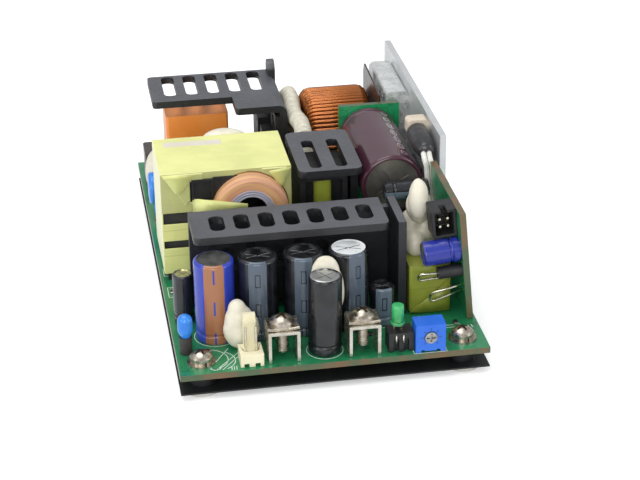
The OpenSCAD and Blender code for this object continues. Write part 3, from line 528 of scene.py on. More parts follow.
black_shrink = shrink_film("black_shrink", "#202023", "#3a3a3f")
white_wire = shrink_film("white_insulation", "#e9e8e1", "#cfcdc3")
fuse_sleeve = shrink_film("fuse_sleeve", "#2c2523", "#453a35")

GREY_STRIPE = "#515d6b"
LID = "#3b3d41"
SCORE = "#e4e6e8"
OUTPUT_STRIPE_HALF = 0.46

finishes = {
    "main_board": mask_green,
    "bulk_capacitor_board": mask_bulk,
    "control_board": mask_upright,
    "solder_joints": solder,
    "insulating_sheet": black_sheet,
    "corner_spacers": spacer_finish(),
    "corner_screws": nickel,
    "corner_washers": nickel,
    "terminal_screws": nickel,
    "terminal_washers": nickel,
    "terminal_brackets": tinned,
    "header_pins": tinned_pin,
    "wire_links": tinned_pin,
    "fan_header": cream_nylon,
    "ac_input_header": white_nylon,
    "led": green_lamp,
    "led_holder": black_moulding,
    "control_header": black_moulding,
    "transformer_bobbin": black_moulding,
    "inductor_bobbin": black_moulding,
    "trimmer_body": trimmer_blue,
    "trimmer_rotor": rotor_metal,
    "bead_capacitor": blue_epoxy,
    "disc_capacitor": blue_epoxy,
    "ferrite_bead": ferrite,
    "transformer_core": ferrite,
    "choke_core": ferrite,
    "front_heatsink": black_anodised,
    "middle_heatsink": black_anodised,
    "rear_heatsink": black_anodised,
    "side_heat_plate": aluminium,
    "output_rectifiers": package_black,
    "bridge_transistors": package_black,
    "boost_transistors": package_black,
    "control_chips": package_black,
    "transformer_winding": litz,
    "transformer_tape": yellow_tape,
    "inductor_winding": olive_tape,
    "standby_transformer": olive_tape,
    "film_capacitor": orange_case,
    "sleeved_wire_bundle": cream_sleeving,
    "choke_winding": copper,
    "common_mode_choke": dark_copper,
    "bulk_capacitor": maroon,
    "foil_wrapped_rectifier": foil,
    "insulating_strip": brown_film,
    "thermal_switch": black_shrink,
    "retaining_strap": strap_finish,
    "silicone_beads": silicone,
    "white_leads": white_wire,
    "input_fuse": fuse_sleeve,
    "blue_output_capacitor": sleeve(
        "blue_sleeve_bronze_stripe", "blue_output_capacitor", "Z", "#2c3fae", "#a06a48", math.radians(-7),
        0.52,
        box_pitch=8.6, top="#3c3c38", dark_top=True, box_ink="#2b3a9c", outline=False, box_share=0.09),
    "output_capacitor_left": sleeve(
        "black_sleeve_left", "output_capacitor_left", "Z", "#121317", GREY_STRIPE, math.radians(-8),
        OUTPUT_STRIPE_HALF, box_pitch=8.0, top=LID, score=SCORE),
    "output_capacitor_middle": sleeve(
        "black_sleeve_middle", "output_capacitor_middle", "Z", "#121317", GREY_STRIPE, math.radians(-8),
        OUTPUT_STRIPE_HALF, box_pitch=8.0, top=LID, score=SCORE),
    "output_capacitor_right": sleeve(
        "black_sleeve_right", "output_capacitor_right", "Z", "#121317", GREY_STRIPE, math.radians(18),
        OUTPUT_STRIPE_HALF, box_pitch=8.0, top="#f4f6f8", score="#26272a", lid_metal=0.1),
    "small_output_capacitor": sleeve(
        "black_sleeve_small", "small_output_capacitor", "Z", "#121317", "#62717f", math.radians(2), 0.72,
        box_pitch=8.0, top=LID, score=SCORE),
    "front_sleeved_capacitor": sleeve(
        "black_sleeve_front", "front_sleeved_capacitor", "Z", "#0e0f11", "#1c1d21", math.radians(-60), 0.4),
    "left_small_capacitor": sleeve(
        "black_sleeve_corner", "left_small_capacitor", "Z", "#1b1b1d", "#34363c", math.radians(-70), 0.4,
        top="#d9d6b0"),
    "lying_capacitor": sleeve(
        "black_sleeve_lying", "lying_capacitor", "X", "#1a1b20", "#6b7a88", math.radians(-112), 0.6,
        box_pitch=9.0),
    "control_capacitor": sleeve(
        "blue_sleeve_control", "control_capacitor", "X", "#232f92", "#84564a", math.radians(60), 0.5,
        top="#3c3c38", dark_top=True, mouth=-1.0),
}
for name, thing in node_objects.items():
    thing.data.materials.clear()
    thing.data.materials.append(finishes[name])


# --- Small tools for making pieces --------------------------------------------------------------

def finished(name, work, material, smooth=True, body=STATIC_BODY):
    """Turns a bmesh in millimetres into a piece that rides on a body."""
    bmesh.ops.scale(work, vec=(MM, MM, MM), verts=work.verts)
    mesh = bpy.data.meshes.new(name)
    work.to_mesh(mesh)
    work.free()
    for face in mesh.polygons:
        face.use_smooth = smooth
    piece = bpy.data.objects.new(name, mesh)
    bpy.context.scene.collection.objects.link(piece)
    mesh.materials.append(material)
    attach(piece, body)
    return piece


def add_block(work, middle, size, turn=0.0):
    made = bmesh.ops.create_cube(work, size=1.0)
    bmesh.ops.scale(work, vec=size, verts=made["verts"])
    bmesh.ops.rotate(work, verts=made["verts"], cent=(0, 0, 0), matrix=Matrix.Rotation(turn, 3, "Z"))
    bmesh.ops.translate(work, vec=middle, verts=made["verts"])
    return made["verts"]


def soften(work, width, segments=2):
    bmesh.ops.bevel(work, geom=work.edges[:], offset=width, segments=segments, profile=0.5, affect="EDGES",
                    material=-1, clamp_overlap=True)


def add_rod(work, route, radius, sides=8, closed=False):
    """A round rod along a route. radius is a number, or a function of the share of the way along."""
    width = radius if callable(radius) else (lambda share: radius)
    count = len(route)
    rings = []
    for i, point in enumerate(route):
        before = route[(i - 1) % count] if closed or i else point
        after = route[(i + 1) % count] if closed or i < count - 1 else point
        heading = (Vector(after) - Vector(before)).normalized()
        turn = heading.to_track_quat("Z", "Y").to_matrix().to_4x4()
        circle = bmesh.ops.create_circle(work, segments=sides, radius=width(i / max(1, count - 1)),
                                         cap_ends=False)
        bmesh.ops.transform(work, matrix=Matrix.Translation(Vector(point)) @ turn, verts=circle["verts"])
        rings.append(circle["verts"])
    pairs = list(zip(rings, rings[1:])) + ([(rings[-1], rings[0])] if closed else [])
    for low, high in pairs:
        edges = []
        for ring in (low, high):
            edges += {e for v in ring for e in v.link_edges if e.other_vert(v) in ring}
        bmesh.ops.bridge_loops(work, edges=list(dict.fromkeys(edges)))
    if not closed:
        for ring in (rings[0], rings[-1]):
            bmesh.ops.contextual_create(work, geom=ring)
    return rings


def add_ring(work, middle, radius, thick, axis="Y", segments=56, sides=8):
    """A closed ring of round rod."""
    circle = bmesh.ops.create_circle(work, segments=sides, radius=thick, cap_ends=False)
    lift = Matrix.Translation((radius, 0, 0)) @ Matrix.Rotation(math.pi / 2, 4, "X")
    bmesh.ops.transform(work, matrix=lift, verts=circle["verts"])
    edges = list({e for v in circle["verts"] for e in v.link_edges})
    spun = bmesh.ops.spin(work, geom=circle["verts"] + edges, cent=(0, 0, 0), axis=(0, 0, 1), dvec=(0, 0, 0),
                          angle=2 * math.pi, steps=segments, use_merge=True, use_duplicate=False)
    verts = [v for v in work.verts if v.is_valid and v.tag is False]
    turn = Matrix.Rotation(math.pi / 2, 4, {"Y": "X", "X": "Y"}[axis]) if axis != "Z" else Matrix.Identity(4)
    bmesh.ops.transform(work, matrix=Matrix.Translation(middle) @ turn, verts=verts)
    for v in verts:
        v.tag = True
    return spun


def outward(work):
    bmesh.ops.remove_doubles(work, verts=work.verts, dist=0.0005)
    bmesh.ops.recalc_face_normals(work, faces=work.faces)


def lump(work, middle, size, seed, rough=0.12, grain=0.55, subdivisions=4):
    """A soft lump that was squeezed out of a nozzle: an egg with dents."""
    made = bmesh.ops.create_icosphere(work, subdivisions=subdivisions, radius=1.0)
    for v in made["verts"]:
        dent = noise.noise(v.co * grain + Vector((seed, seed * 0.37, 0)))
        fine = noise.noise(v.co * grain * 3.1 + Vector((0, seed, seed)))
        v.co *= 1.0 + rough * dent + rough * 0.3 * fine
    bmesh.ops.scale(work, vec=size, verts=made["verts"])
    bmesh.ops.translate(work, vec=middle, verts=made["verts"])
    return made["verts"]


def rounded_rim(piece, width, segments):
    """Rounds the sharp edges of a new piece."""
    rim = piece.modifiers.new("rim", "BEVEL")
    rim.width = width * MM
    rim.segments = segments
    rim.limit_method = "ANGLE"


def weld_and_soften(node, width, angle=35):
    """Rounds the sharp edges of a node of the frame, for the light that they catch."""
    thing = node_objects[node]
    weld = thing.modifiers.new("weld", "WELD")
    weld.merge_threshold = 0.002 * MM
    bevel = thing.modifiers.new("bevel", "BEVEL")
    bevel.width = width * MM
    bevel.segments = 2
    bevel.limit_method = "ANGLE"
    bevel.angle_limit = math.radians(angle)
    bevel.harden_normals = False
    bevel.use_clamp_overlap = True


# --- Choke: the wire wound round its ring -------------------------------------------------------

def choke_wire():
    """Straight turns round the ring. In the hole every second one lies further from its centre."""
    winding = Place("choke_winding")
    outer = winding.size.z / 2
    half = winding.size.x / 2
    wire = 0.55
    hole = 7.2
    turns = 72
    work = bmesh.new()
    for i in range(turns):
        layer = i % 2
        rim = half - wire - layer * 0.15
        throat = half - wire - layer * 1.2
        high, low = outer - wire, hole + wire + layer * 1.1
        route = []
        for side, wide, level, r, start in ((1, rim, high, 2.0, 0), (-1, rim, high, 2.0, 90),
                                            (-1, throat, low, 1.0, 180), (1, throat, low, 1.0, 270)):
            centre_x = side * (wide - r)
            centre_z = level - r if level == high else level + r
            for step in range(4):
                a = math.radians(start + step * 30)
                route.append(Vector((centre_x + r * math.cos(a), 0, centre_z + r * math.sin(a))))
        rings = add_rod(work, route, wire, 8, closed=True)
        verts = [v for ring in rings for v in ring]
        sway = noise.noise(Vector((i * 1.7, 0, 0))) * 0.004
        turn = Matrix.Rotation((i + 0.5) * 2 * math.pi / turns + sway, 4, "X")
        bmesh.ops.transform(work, matrix=Matrix.Translation(winding.middle) @ turn, verts=verts)
    outward(work)
    piece = finished("choke_wire", work, copper)
    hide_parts("choke_winding")


# --- Transformer: strands of the coil, label and loose tape -------------------------------------

def coil_strands():
    coil = Place("transformer_winding")
    radius = coil.size.x / 2
    work = bmesh.new()
    strand = 0.42
    rows = 15
    for i in range(rows):
        share = i / (rows - 1)
        if share < 0.45:
            along = share / 0.45
            ring_radius = radius * 0.62 + along * (radius * 0.30)
            y = coil.low.y + 0.5 + 0.9 * along * along
        else:
            along = (share - 0.45) / 0.55
            ring_radius = radius - strand - 0.25 + 0.15 * math.sin(along * 9)
            y = coil.low.y + 1.9 + along * 6.5
        add_ring(work, (coil.middle.x, y, coil.middle.z), ring_radius, strand)
    outward(work)
    finished("coil_strands", work, litz)
    work = bmesh.new()
    for i in range(3):
        add_ring(work, (coil.middle.x, coil.low.y + 0.35, coil.middle.z), radius * 0.6 - i * 0.62, 0.40)
    outward(work)
    finished("coil_inner_wraps", work, hub_tape)


def transformer_label():
    tape = Place("transformer_tape")
    work = bmesh.new()
    length, width, thick = 15.4, 3.0, 0.06
    add_block(work, (tape.low.x + 2.6 + length / 2, tape.high.y - 4.6, tape.high.z + thick / 2),
              (length, width, thick),
              math.radians(-1.2))
    finished("transformer_label", work, label, False)


def bobbin_wall():
    """The bobbin's black end wall, which shows above the coil's shoulder, with its open slot."""
    front = Place("transformer_tape").low.y
    work = bmesh.new()
    frame_x, frame_w, frame_h = left_edge + 11.8, 5.6, 5.4
    frame_z = board_top + 25.9
    add_block(work, (frame_x, front - 0.1, frame_z), (frame_w, 0.9, frame_h))
    face = min(work.faces, key=lambda f: f.calc_center_median().y)
    bmesh.ops.inset_individual(work, faces=[face], thickness=0.75, depth=0)
    bmesh.ops.inset_individual(work, faces=[face], thickness=0.05, depth=-0.55)
    add_block(work, (left_edge + 19.0, front + 0.05, frame_z + 0.2), (8.8, 0.5, frame_h + 0.2))
    bmesh.ops.recalc_face_normals(work, faces=work.faces)
    finished("bobbin_wall", work, black_moulding, False)


def tape_sheet(work, rows, thick=0.12):
    """A strip of tape through pairs of points, from its one edge to its other."""
    pairs = [(work.verts.new(a), work.verts.new(b)) for a, b in rows]
    faces = [work.faces.new((p[0], p[1], q[1], q[0])) for p, q in zip(pairs, pairs[1:])]
    bmesh.ops.recalc_face_normals(work, faces=faces)
    bmesh.ops.solidify(work, geom=faces, thickness=thick)


def tape_tongue():
    """The free end of the tape, which comes round the coil's shoulder and ends in front of its hub."""
    work = bmesh.new()
    rows = []
    for x, y, top, low in ((9.1, 49.0, 23.2, 18.9), (10.4, 47.6, 23.8, 19.6), (11.9, 45.5, 24.4, 20.5),
                           (14.5, 45.25, 24.1, 20.7),
                           (18.4, 45.3, 23.3, 20.9), (23.0, 45.4, 22.4, 21.1)):
        rows.append((on_board(x, y, top), on_board(x, y - 0.15, low)))
    tape_sheet(work, rows)
    outward(work)
    finished("tape_tongue", work, flap_tape)


def folded_corners():
    """Corner folds that hang over the front of the transformer, each a triangle that lifts at its tip."""
    work = bmesh.new()
    steps = 6
    for left, right, tip in (((1.4, 30.3), (9.8, 29.9), (5.4, 24.1)),
                             ((35.0, 30.2), (29.2, 29.4), (32.4, 24.3))):
        rows = []
        for i in range(steps):
            share = i / steps
            lift = 0.25 + 0.55 * share * share
            a = (left[0] + (tip[0] - left[0]) * share, left[1] + (tip[1] - left[1]) * share)
            b = (right[0] + (tip[0] - right[0]) * share, right[1] + (tip[1] - right[1]) * share)
            rows.append((on_board(a[0], 49.3 - lift, a[1]), on_board(b[0], 49.3 - lift - 0.2 * share, b[1])))
        tape_sheet(work, rows)
    outward(work)
    finished("folded_corners", work, flap_tape)


def standby_fold():
    """The last wrap of tape on the small transformer, folded over on the slant."""
    box = Place("standby_transformer")
    work = bmesh.new()
    rows = []
    for share, low, high in ((0.02, 0.03, 0.10), (0.35, 0.03, 0.30), (0.62, 0.03, 0.46), (0.98, 0.03, 0.74)):
        out = box.low.y - 0.12 - 0.25 * math.sin(share * math.pi)
        rows.append((Vector((box.at(share, 0, 0).x, out - 0.15, box.at(0, 0, high).z)),
                     Vector((box.at(share, 0, 0).x, out + 0.1, box.at(0, 0, low).z))))
    tape_sheet(work, rows, 0.1)
    outward(work)
    finished("standby_fold", work, olive_tape)


# --- Beads and lumps of silicone ----------------------------------------------------------------

def silicone_lumps():
    """Silicone squeezed on by hand: eggs and drips that run into one another."""
    header = Place("fan_header")
    left_can = Place("output_capacitor_left")
    front_can = Place("front_sleeved_capacitor")
    trafo = Place("transformer_tape")
    standby = Place("standby_transformer")
    film = Place("film_capacitor")
    work = bmesh.new()
    bead = (header.middle.x - 1.3, left_can.low.y - 1.9)
    lump(work, (bead[0], bead[1], board_top + 5.2), (4.5, 3.3, 5.3), 1.3, 0.04)
    lump(work, (bead[0] - 0.5, bead[1], board_top + 7.4), (3.7, 2.9, 4.4), 2.2, 0.04)
    lump(work, (bead[0] - 0.9, bead[1], board_top + 10.2), (2.4, 2.1, 3.3), 2.6, 0.05)
    can_x, can_y = front_can.middle.x, front_can.high.y
    lump(work, (can_x + 1.2, can_y + 1.6, front_can.high.z - 2.6), (3.6, 2.0, 4.6), 4.1, 0.10)
    lump(work, (can_x + 4.0, can_y + 0.2, front_can.high.z - 7.0), (1.7, 2.6, 5.4), 4.9, 0.10)
    lump(work, (can_x + 1.0, can_y + 1.6, board_top + 6.0), (2.2, 1.7, 11.0), 2.1, 0.10)
    lump(work, (trafo.middle.x + 2.6, trafo.high.y + 3.0, trafo.high.z - 2.8), (6.4, 3.4, 3.2), 6.2, 0.08)
    lump(work, (film.low.x - 3.4, film.middle.y - 4.0, board_top + 6.6), (3.2, 4.6, 6.6), 7.7, 0.12)
    left, rear, top = standby.middle.x - 2.0, standby.high.y, standby.high.z
    lump(work, (left, rear + 2.6, top + 4.6), (3.6, 3.4, 5.2), 3.3, 0.12)
    lump(work, (left - 0.4, rear - 2.4, top + 2.6), (2.9, 3.6, 3.4), 5.9, 0.14)
    lump(work, (left + 2.8, rear - 0.6, top + 4.8), (3.0, 2.4, 3.8), 6.6, 0.14)
    lump(work, (left + 1.6, rear + 4.2, board_top + 7.0), (3.6, 3.6, 7.4), 8.4, 0.10)
    socket = Place("control_header")
    lump(work, (socket.low.x - 1.3, socket.high.y + 2.4, socket.high.z - 0.6), (2.5, 2.7, 5.6), 9.2, 0.10)
    lump(work, (socket.low.x - 0.8, socket.high.y + 4.8, socket.high.z - 3.4), (3.2, 3.2, 4.6), 9.9, 0.12)
    piece = finished("silicone_lumps", work, silicone)
    flow = piece.modifiers.new("flow", "REMESH")
    flow.mode = "VOXEL"
    flow.voxel_size = 0.38 * MM
    flow.use_smooth_shade = True
    settle = piece.modifiers.new("settle", "SMOOTH")
    settle.factor = 0.5
    settle.iterations = 8
    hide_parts("silicone_beads")


def wrinkled_sleeving():
    tube = Place("sleeved_wire_bundle")
    radius = tube.size.x / 2
    work = bmesh.new()
    count = 90
    route = []
    for i in range(count):
        share = i / (count - 1)
        y = tube.high.y - radius - share * (tube.size.y - 2 * radius)
        drop = 0.5 * math.sin(share * math.pi) + 0.25 * math.sin(share * 17)
        route.append(Vector((tube.middle.x + 0.35 * math.sin(share * 11), y, tube.high.z - radius - drop)))
    down = [Vector((route[-1].x, route[-1].y, board_top + h)) for h in (20, 15, 9, 3, 0.1)]
    back = [Vector((route[0].x, route[0].y, board_top + h)) for h in (0.1, 3, 9, 15, 20)]

    def width(share):
        ripple = 0.09 * math.sin(share * 170) + 0.07 * noise.noise(Vector((share * 60, 0.3, 0)))
        return radius * (0.88 + ripple)

    add_rod(work, back + route + down, width, 20)
    bmesh.ops.smooth_vert(work, verts=work.verts, factor=0.3, use_axis_x=True, use_axis_y=True,
                          use_axis_z=True)
    outward(work)
    piece = finished("wrinkled_sleeving", work, cream_sleeving)
    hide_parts("sleeved_wire_bundle")


# --- Marks on the board -------------------------------------------------------------------------

PRINT_T = 0.03
PRINT_W = 0.18


def printed_arc(work, x, y, radius, start=0.0, sweep=360.0, width=PRINT_W):
    steps = max(6, int(sweep / 9))
    inner = work.verts.new((radius - width / 2, 0, 0))
    outer = work.verts.new((radius + width / 2, 0, 0))
    line = work.edges.new((inner, outer))
    whole = abs(sweep - 360.0) < 0.01
    before = set(work.verts) - {inner, outer}
    bmesh.ops.rotate(work, verts=[inner, outer], cent=(0, 0, 0),
                     matrix=Matrix.Rotation(math.radians(start), 3, "Z"))
    bmesh.ops.spin(work, geom=[inner, outer, line], cent=(0, 0, 0), axis=(0, 0, 1), dvec=(0, 0, 0),
                   angle=math.radians(sweep), steps=steps, use_merge=whole, use_duplicate=False)
    fresh = [v for v in work.verts if v not in before]
    bmesh.ops.translate(work, verts=fresh, vec=on_board(x, y, 0.0))


def printed_line(work, start, end, width=PRINT_W):
    a, b = Vector(start), Vector(end)
    side = Vector((b.y - a.y, a.x - b.x)).normalized() * width / 2
    corners = [a + side, b + side, b - side, a - side]
    work.faces.new([work.verts.new(on_board(c.x, c.y, 0.0)) for c in corners])


def board_print():
    work = bmesh.new()
    for x, y, radius in ((10.8, 18, 5.4), (52.6, 17.8, 3.6), (36.1, 6.2, 4.5)):
        printed_arc(work, x, y, radius)
    printed_arc(work, 7.4, 6.4, 4.9, -68, 150)
    printed_arc(work, 9.4, 5.6, 4.6, -62, 118)
    printed_arc(work, 8.9, 2.6, 1.3, 150, 230)
    for start, end in (((7.6, 2.6), (12.9, 11.2)), ((8.9, 1.3), (15.9, 9.8)), ((10.4, 1.2), (15.4, 7.5))):
        printed_line(work, start, end)
    for x in (12.6, 13.2, 13.8):
        printed_line(work, (x, 0.7), (x + 0.1, 2.4))
    for x, y, w, d in ((1.2, 40.0, 2.6, 5.4), (1.0, 52.0, 2.2, 4.0), (66.0, 11.4, 5.6, 1.2),
                       (57.2, 0.15, 8.2, 5.4)):
        for p, q in (((x, y), (x + w, y)), ((x + w, y), (x + w, y + d)), ((x + w, y + d), (x, y + d)),
                     ((x, y + d), (x, y))):
            printed_line(work, p, q)
    for i in range(6):
        printed_line(work, (69.8 + i * 0.9, 9.6 + i * 0.2), (69.8 + i * 0.9, 11.0 + i * 0.2), 0.24)
    bmesh.ops.translate(work, verts=work.verts, vec=(0, 0, 0.004))
    bmesh.ops.recalc_face_normals(work, faces=work.faces)
    bmesh.ops.solidify(work, geom=work.faces[:], thickness=-PRINT_T)
    bmesh.ops.recalc_face_normals(work, faces=work.faces)
    finished("board_print", work, print_white, False)


def surface_parts():
    """Small surface parts with bright ends, by the board's left edge and between the front parts."""
    body, ends = bmesh.new(), bmesh.new()
    spots = ((2.3, 42.6, 90), (2.2, 55.0, 90), (2.0, 85.0, 90), (58.0, 12.4, 0), (61.0, 12.0, 0),
             (66.4, 9.4, 90), (63.2, 15.4, 0), (70.6, 13.2, 90), (48.6, 11.2, 0), (7.6, 10.2, 0))
    for x, y, turn in spots:
        angle = math.radians(turn)
        add_block(body, on_board(x, y, 0.35), (1.2, 1.1, 0.7), angle)
        for side in (-1, 1):
            shift = Vector((math.cos(angle), math.sin(angle), 0)) * 0.8 * side
            add_block(ends, on_board(x, y, 0.33) + shift, (0.42, 1.12, 0.66), angle)
    soften(body, 0.08)
    soften(ends, 0.08)
    finished("surface_part_bodies", body, package_black)
    finished("surface_part_ends", ends, solder)


# --- Terminals, screws and lamp -----------------------------------------------------------------

def terminal_threads():
    """The screw ends that show below the terminals' bridges."""
    heads = Place("terminal_screws")
    brackets = Place("terminal_brackets")
    work = bmesh.new()
    width = 7.8
    for x, y in ((brackets.low.x + width / 2, 0.4), (brackets.high.x - width / 2, 0.0)):
        centre = Vector((x, heads.middle.y + (y - 0.2), 0))
        bottom, top = heads.low.z + 0.1, heads.high.z - 3.6
        pitch = 0.5
        count = int((top - bottom) / pitch)
        for i in range(count):
            add_ring(work, (centre.x, centre.y, bottom + 0.3 + i * pitch), 1.36, 0.16, "Z", 24, 6)
    outward(work)
    finished("terminal_threads", work, nickel)


def cup_washers():
    """Square washers that curl up at two sides, to keep a wire under the screw."""
    plates = Place("terminal_washers")
    brackets = Place("terminal_brackets")
    work = bmesh.new()
    half, deep, thick = 3.9, 2.9, 0.75
    curl, taper, lift = 0.3, 0.98, 0.02
    set_in = 3.8
    middles = ((brackets.low.x + half, plates.high.y - set_in),
               (brackets.high.x - half, plates.low.y + set_in))
    for x, y in middles:
        rows = []
        for i in range(13):
            side = (i - 6) / 6
            z = plates.low.z + thick + curl * abs(side) ** 3
            across = x + side * half * taper
            rows.append((Vector((across, y - deep, z)), Vector((across, y + deep, z))))
        tape_sheet(work, rows, thick)
    outward(work)
    low = min(v.co.z for v in work.verts)
    bmesh.ops.translate(work, verts=work.verts, vec=(0, 0, plates.low.z + lift - low))
    piece = finished("cup_washers", work, nickel, False)
    rounded_rim(piece, 0.12, 2)
    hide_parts("terminal_washers")


def lamp_lens():
    """The lamp's flat-topped lens on its collar."""
    lamp = Place("led")
    holder = Place("led_holder")
    middle_x = holder.low.x + 2.6
    collar_z = board_top + 6.6
    collar_r, collar_h, lens_r, sunk, draft = 1.9, 0.9, 1.58, 0.1, 0.97
    work = bmesh.new()
    for radius, low, high in ((collar_r, collar_z, collar_z + collar_h),
                              (lens_r, collar_z + collar_h - sunk, lamp.high.z)):
        made = bmesh.ops.create_cone(work, cap_ends=True, segments=32, radius1=radius, radius2=radius * draft,
                                     depth=high - low)
        bmesh.ops.translate(work, verts=made["verts"], vec=(middle_x, lamp.middle.y, (low + high) / 2))
    piece = finished("lamp_lens", work, green_lamp)
    rounded_rim(piece, 0.28, 3)
    legs = bmesh.new()
    for x in (-0.9, 0.9):
        add_block(legs, (middle_x + x, lamp.middle.y, board_top + 5.6), (0.45, 0.45, 2.4))
    finished("lamp_posts", legs, tinned_pin, False)
    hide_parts("led")


def switch_and_leads():
    """The thermal switch in its shrunk sleeve, with the two white leads that leave its front end."""
    switch = Place("thermal_switch")
    leads = Place("white_leads")
    radius = switch.size.z / 2
    work = bmesh.new()
    route = [Vector((switch.middle.x, switch.high.y - share * switch.size.y,
                     switch.middle.z - 0.5 * share * share))
             for share in [i / 14 for i in range(15)]]

    def width(share):
        return radius * (0.97 - 0.42 * max(0.0, share - 0.55) ** 1.5 * 2.2 + 0.015 * math.sin(share * 30))

    add_rod(work, route, width, 28)
    outward(work)
    piece = finished("switch_sleeve", work, black_shrink)
    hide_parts("thermal_switch")
    work = bmesh.new()
    for shift, seed in ((-0.8, 0.3), (0.7, 1.1)):
        start = Vector((switch.middle.x + shift, switch.low.y + 1.0, switch.middle.z - 0.6))
        route = [start, start + Vector((-0.1, -1.2, -0.3)), start + Vector((0.0, -2.1, -1.4)),
                 start + Vector((0.5, -2.4, -3.2)),
                 start + Vector((0.8, -2.2, -6.5)), start + Vector((0.9, -1.8 + 0.3 * seed, -12.0)),
                 Vector((leads.middle.x - 0.3 * shift, leads.low.y + 0.6 + 0.8 * seed, board_top + 8.0)),
                 Vector((leads.middle.x - 0.3 * shift, leads.low.y + 0.6 + 0.8 * seed, board_top + 0.1))]
        add_rod(work, route, 0.72, 12)
    outward(work)
    piece = finished("switch_leads", work, white_wire)
    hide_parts("white_leads")


def lamp_leads():
    holder = Place("led_holder")
    work = bmesh.new()
    for x in (-0.9, 0.9):
        foot = Vector((holder.middle.x + x - 0.4, holder.low.y - 0.12, holder.high.z - 2.4))
        add_rod(work, [foot, foot + Vector((0, 0, 1.0)), foot + Vector((0.1, 0.35, 2.0))], 0.22, 8)
    outward(work)
    finished("lamp_leads", work, tinned_pin)


def trimmer_marks():
    """Moulded ticks round the trimmer's rotor."""
    body = Place("trimmer_body")
    rotor = Place("trimmer_rotor")
    work = bmesh.new()
    radius = rotor.size.x / 2 + 0.75
    for degrees in (-135, -90, -45, 0, 45, 90, 135):
        a = math.radians(degrees + 90)
        middle = Vector((rotor.middle.x + radius * math.cos(a), body.low.y - 0.02,
                         rotor.middle.z + radius * math.sin(a)))
        made = bmesh.ops.create_cube(work, size=1.0)
        bmesh.ops.scale(work, vec=(0.55, 0.06, 0.12), verts=made["verts"])
        bmesh.ops.rotate(work, verts=made["verts"], cent=(0, 0, 0), matrix=Matrix.Rotation(-a, 3, "Y"))
        bmesh.ops.translate(work, vec=middle, verts=made["verts"])
    finished("trimmer_marks", work, black_moulding, False)


# --- Control board: hairpin links ---------------------------------------------------------------

def hairpin_links():
    """Bare wire links that stand off the upright board as hairpins."""
    links = Place("wire_links")
    work = bmesh.new()
    right = links.high.x - 0.1
    y = links.low.y + 1.2
    for z, half, reach, slope in ((links.high.z + 1.6, 1.1, links.size.x + 0.2, 0.0),
                                  (links.low.z + 1.4, 1.5, 8.6, 0.22)):
        bend_x = right - reach + half
        route = [Vector((right, y, z + half)), Vector((bend_x + 2.0, y, z + half * 0.95))]
        for step in range(9):
            a = math.radians(90 + step * 22.5)
            route.append(Vector((bend_x + half * math.cos(a), y + 0.12 * step, z + half * math.sin(a))))
        route += [Vector((bend_x + 2.0, y + 1.3, z - half * 0.95)), Vector((right, y + 1.6, z - half * 0.6))]
        route = [p + Vector((0, 0, slope * (p.x - bend_x))) for p in route]
        add_rod(work, route, 0.32, 10)
    outward(work)
    piece = finished("hairpin_links", work, tinned_pin)
    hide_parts("wire_links")


# --- Stage, light and camera --------------------------------------------------------------------

def camera_rays(tree):
    """1 for what the camera sees, straight or through clear things, and 0 for light that falls on things."""
    rays = tree.nodes.new("ShaderNodeLightPath")
    total = tree.nodes.new("ShaderNodeMath")
    total.operation = "MAXIMUM"
    tree.links.new(rays.outputs["Is Camera Ray"], total.inputs[0])
    tree.links.new(rays.outputs["Is Transmission Ray"], total.inputs[1])
    return total.outputs[0]


def white_world():
    world = bpy.data.worlds.new("pale_studio")
    bpy.context.scene.world = world
    world.use_nodes = True
    tree = world.node_tree
    tree.nodes.clear()
    output = tree.nodes.new("ShaderNodeOutputWorld")
    seen, light = tree.nodes.new("ShaderNodeBackground"), tree.nodes.new("ShaderNodeBackground")
    seen.inputs[0].default_value = (1, 1, 1, 1)
    seen.inputs[1].default_value = 1.0
    light.inputs[0].default_value = (0.97, 0.985, 1.0, 1)
    light.inputs[1].default_value = WORLD_LEVEL
    mix = tree.nodes.new("ShaderNodeMixShader")
    tree.links.new(camera_rays(tree), mix.inputs[0])
    tree.links.new(light.outputs[0], mix.inputs[1])
    tree.links.new(seen.outputs[0], mix.inputs[2])
    tree.links.new(mix.outputs[0], output.inputs[0])


def pale_floor():
    work = bmesh.new()
    bmesh.ops.create_grid(work, x_segments=1, y_segments=1, size=1500)
    bmesh.ops.translate(work, verts=work.verts, vec=(0, 0, -0.15))
    bmesh.ops.scale(work, vec=(MM, MM, MM), verts=work.verts)
    mesh = bpy.data.meshes.new("floor")
    work.to_mesh(mesh)
    work.free()
    floor = bpy.data.objects.new("floor", mesh)
    bpy.context.scene.collection.objects.link(floor)
    paint = bpy.data.materials.new("floor_paint")
    paint.use_nodes = True
    tree = paint.node_tree
    surface = tree.nodes["Principled BSDF"]
    surface.inputs["Base Color"].default_value = (0.86, 0.86, 0.86, 1)
    surface.inputs["Roughness"].default_value = 0.9
    surface.inputs["Specular IOR Level"].default_value = 0.0
    glow = tree.nodes.new("ShaderNodeMath")
    glow.operation = "MULTIPLY"
    glow.inputs[1].default_value = FLOOR_LIFT
    tree.links.new(camera_rays(tree), glow.inputs[0])
    surface.inputs["Emission Color"].default_value = (1, 1, 1, 1)
    tree.links.new(glow.outputs[0], surface.inputs["Emission Strength"])
    mesh.materials.append(paint)


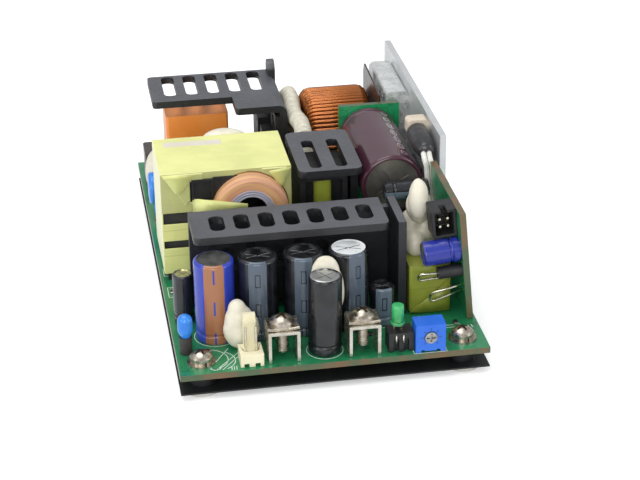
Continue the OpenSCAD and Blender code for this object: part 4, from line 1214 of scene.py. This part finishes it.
def softbox(name, place, aim, size, power, colour=(1, 1, 1)):
    light = bpy.data.lights.new(name, "AREA")
    light.shape = "RECTANGLE"
    light.size, light.size_y = size
    light.energy = power
    light.color = colour
    lamp = bpy.data.objects.new(name, light)
    lamp.location = place
    lamp.rotation_euler = (Vector(aim) - Vector(place)).to_track_quat("-Z", "Y").to_euler()
    bpy.context.scene.collection.objects.link(lamp)


def studio():
    white_world()
    pale_floor()
    softbox("top_box", (-0.15, 0.05, 0.75), (0, 0, 0.02), (0.62, 0.5), 2.6)
    softbox("left_box", (-0.7, -0.35, 0.35), (0, 0, 0.02), (0.4, 0.5), 1.6)
    softbox("front_box", (-0.2, -0.95, 0.42), (0, 0, 0.02), (0.6, 0.4), 3.4)
    softbox("right_box", (0.7, -0.45, 0.4), (0, 0, 0.02), (0.3, 0.5), 1.2)


def camera():
    yaw, pitch, roll = (math.radians(a) for a in CAMERA_TURN)
    ahead = Vector((math.sin(yaw) * math.cos(pitch), math.cos(yaw) * math.cos(pitch), -math.sin(pitch)))
    right = Vector((math.cos(yaw), -math.sin(yaw), 0))
    up = right.cross(ahead)
    right, up = (math.cos(roll) * right + math.sin(roll) * up, -math.sin(roll) * right + math.cos(roll) * up)
    data = bpy.data.cameras.new("camera")
    data.lens = 101.8
    data.sensor_width = 36.0
    data.clip_start, data.clip_end = 0.02, 20.0
    thing = bpy.data.objects.new("camera", data)
    turn = Matrix((right, up, -ahead)).transposed().to_4x4()
    thing.matrix_world = Matrix.Translation(Vector(CAMERA_PLACE) * MM) @ turn
    bpy.context.scene.collection.objects.link(thing)
    bpy.context.scene.camera = thing


camera()
studio()
bpy.context.scene.view_settings.view_transform = "Standard"

choke_wire()
coil_strands()
transformer_label()
bobbin_wall()
tape_tongue()
folded_corners()
standby_fold()
silicone_lumps()
wrinkled_sleeving()
board_print()
surface_parts()
terminal_threads()
cup_washers()
lamp_lens()
lamp_leads()
switch_and_leads()
trimmer_marks()
hairpin_links()
for node, width in (("front_heatsink", 0.25), ("middle_heatsink", 0.25), ("rear_heatsink", 0.25),
                    ("film_capacitor", 0.25),
                    ("trimmer_body", 0.2), ("led_holder", 0.12), ("control_header", 0.15),
                    ("fan_header", 0.12),
                    ("transformer_tape", 0.15), ("standby_transformer", 0.3), ("terminal_brackets", 0.18),
                    ("side_heat_plate", 0.15)):
    weld_and_soften(node, width)
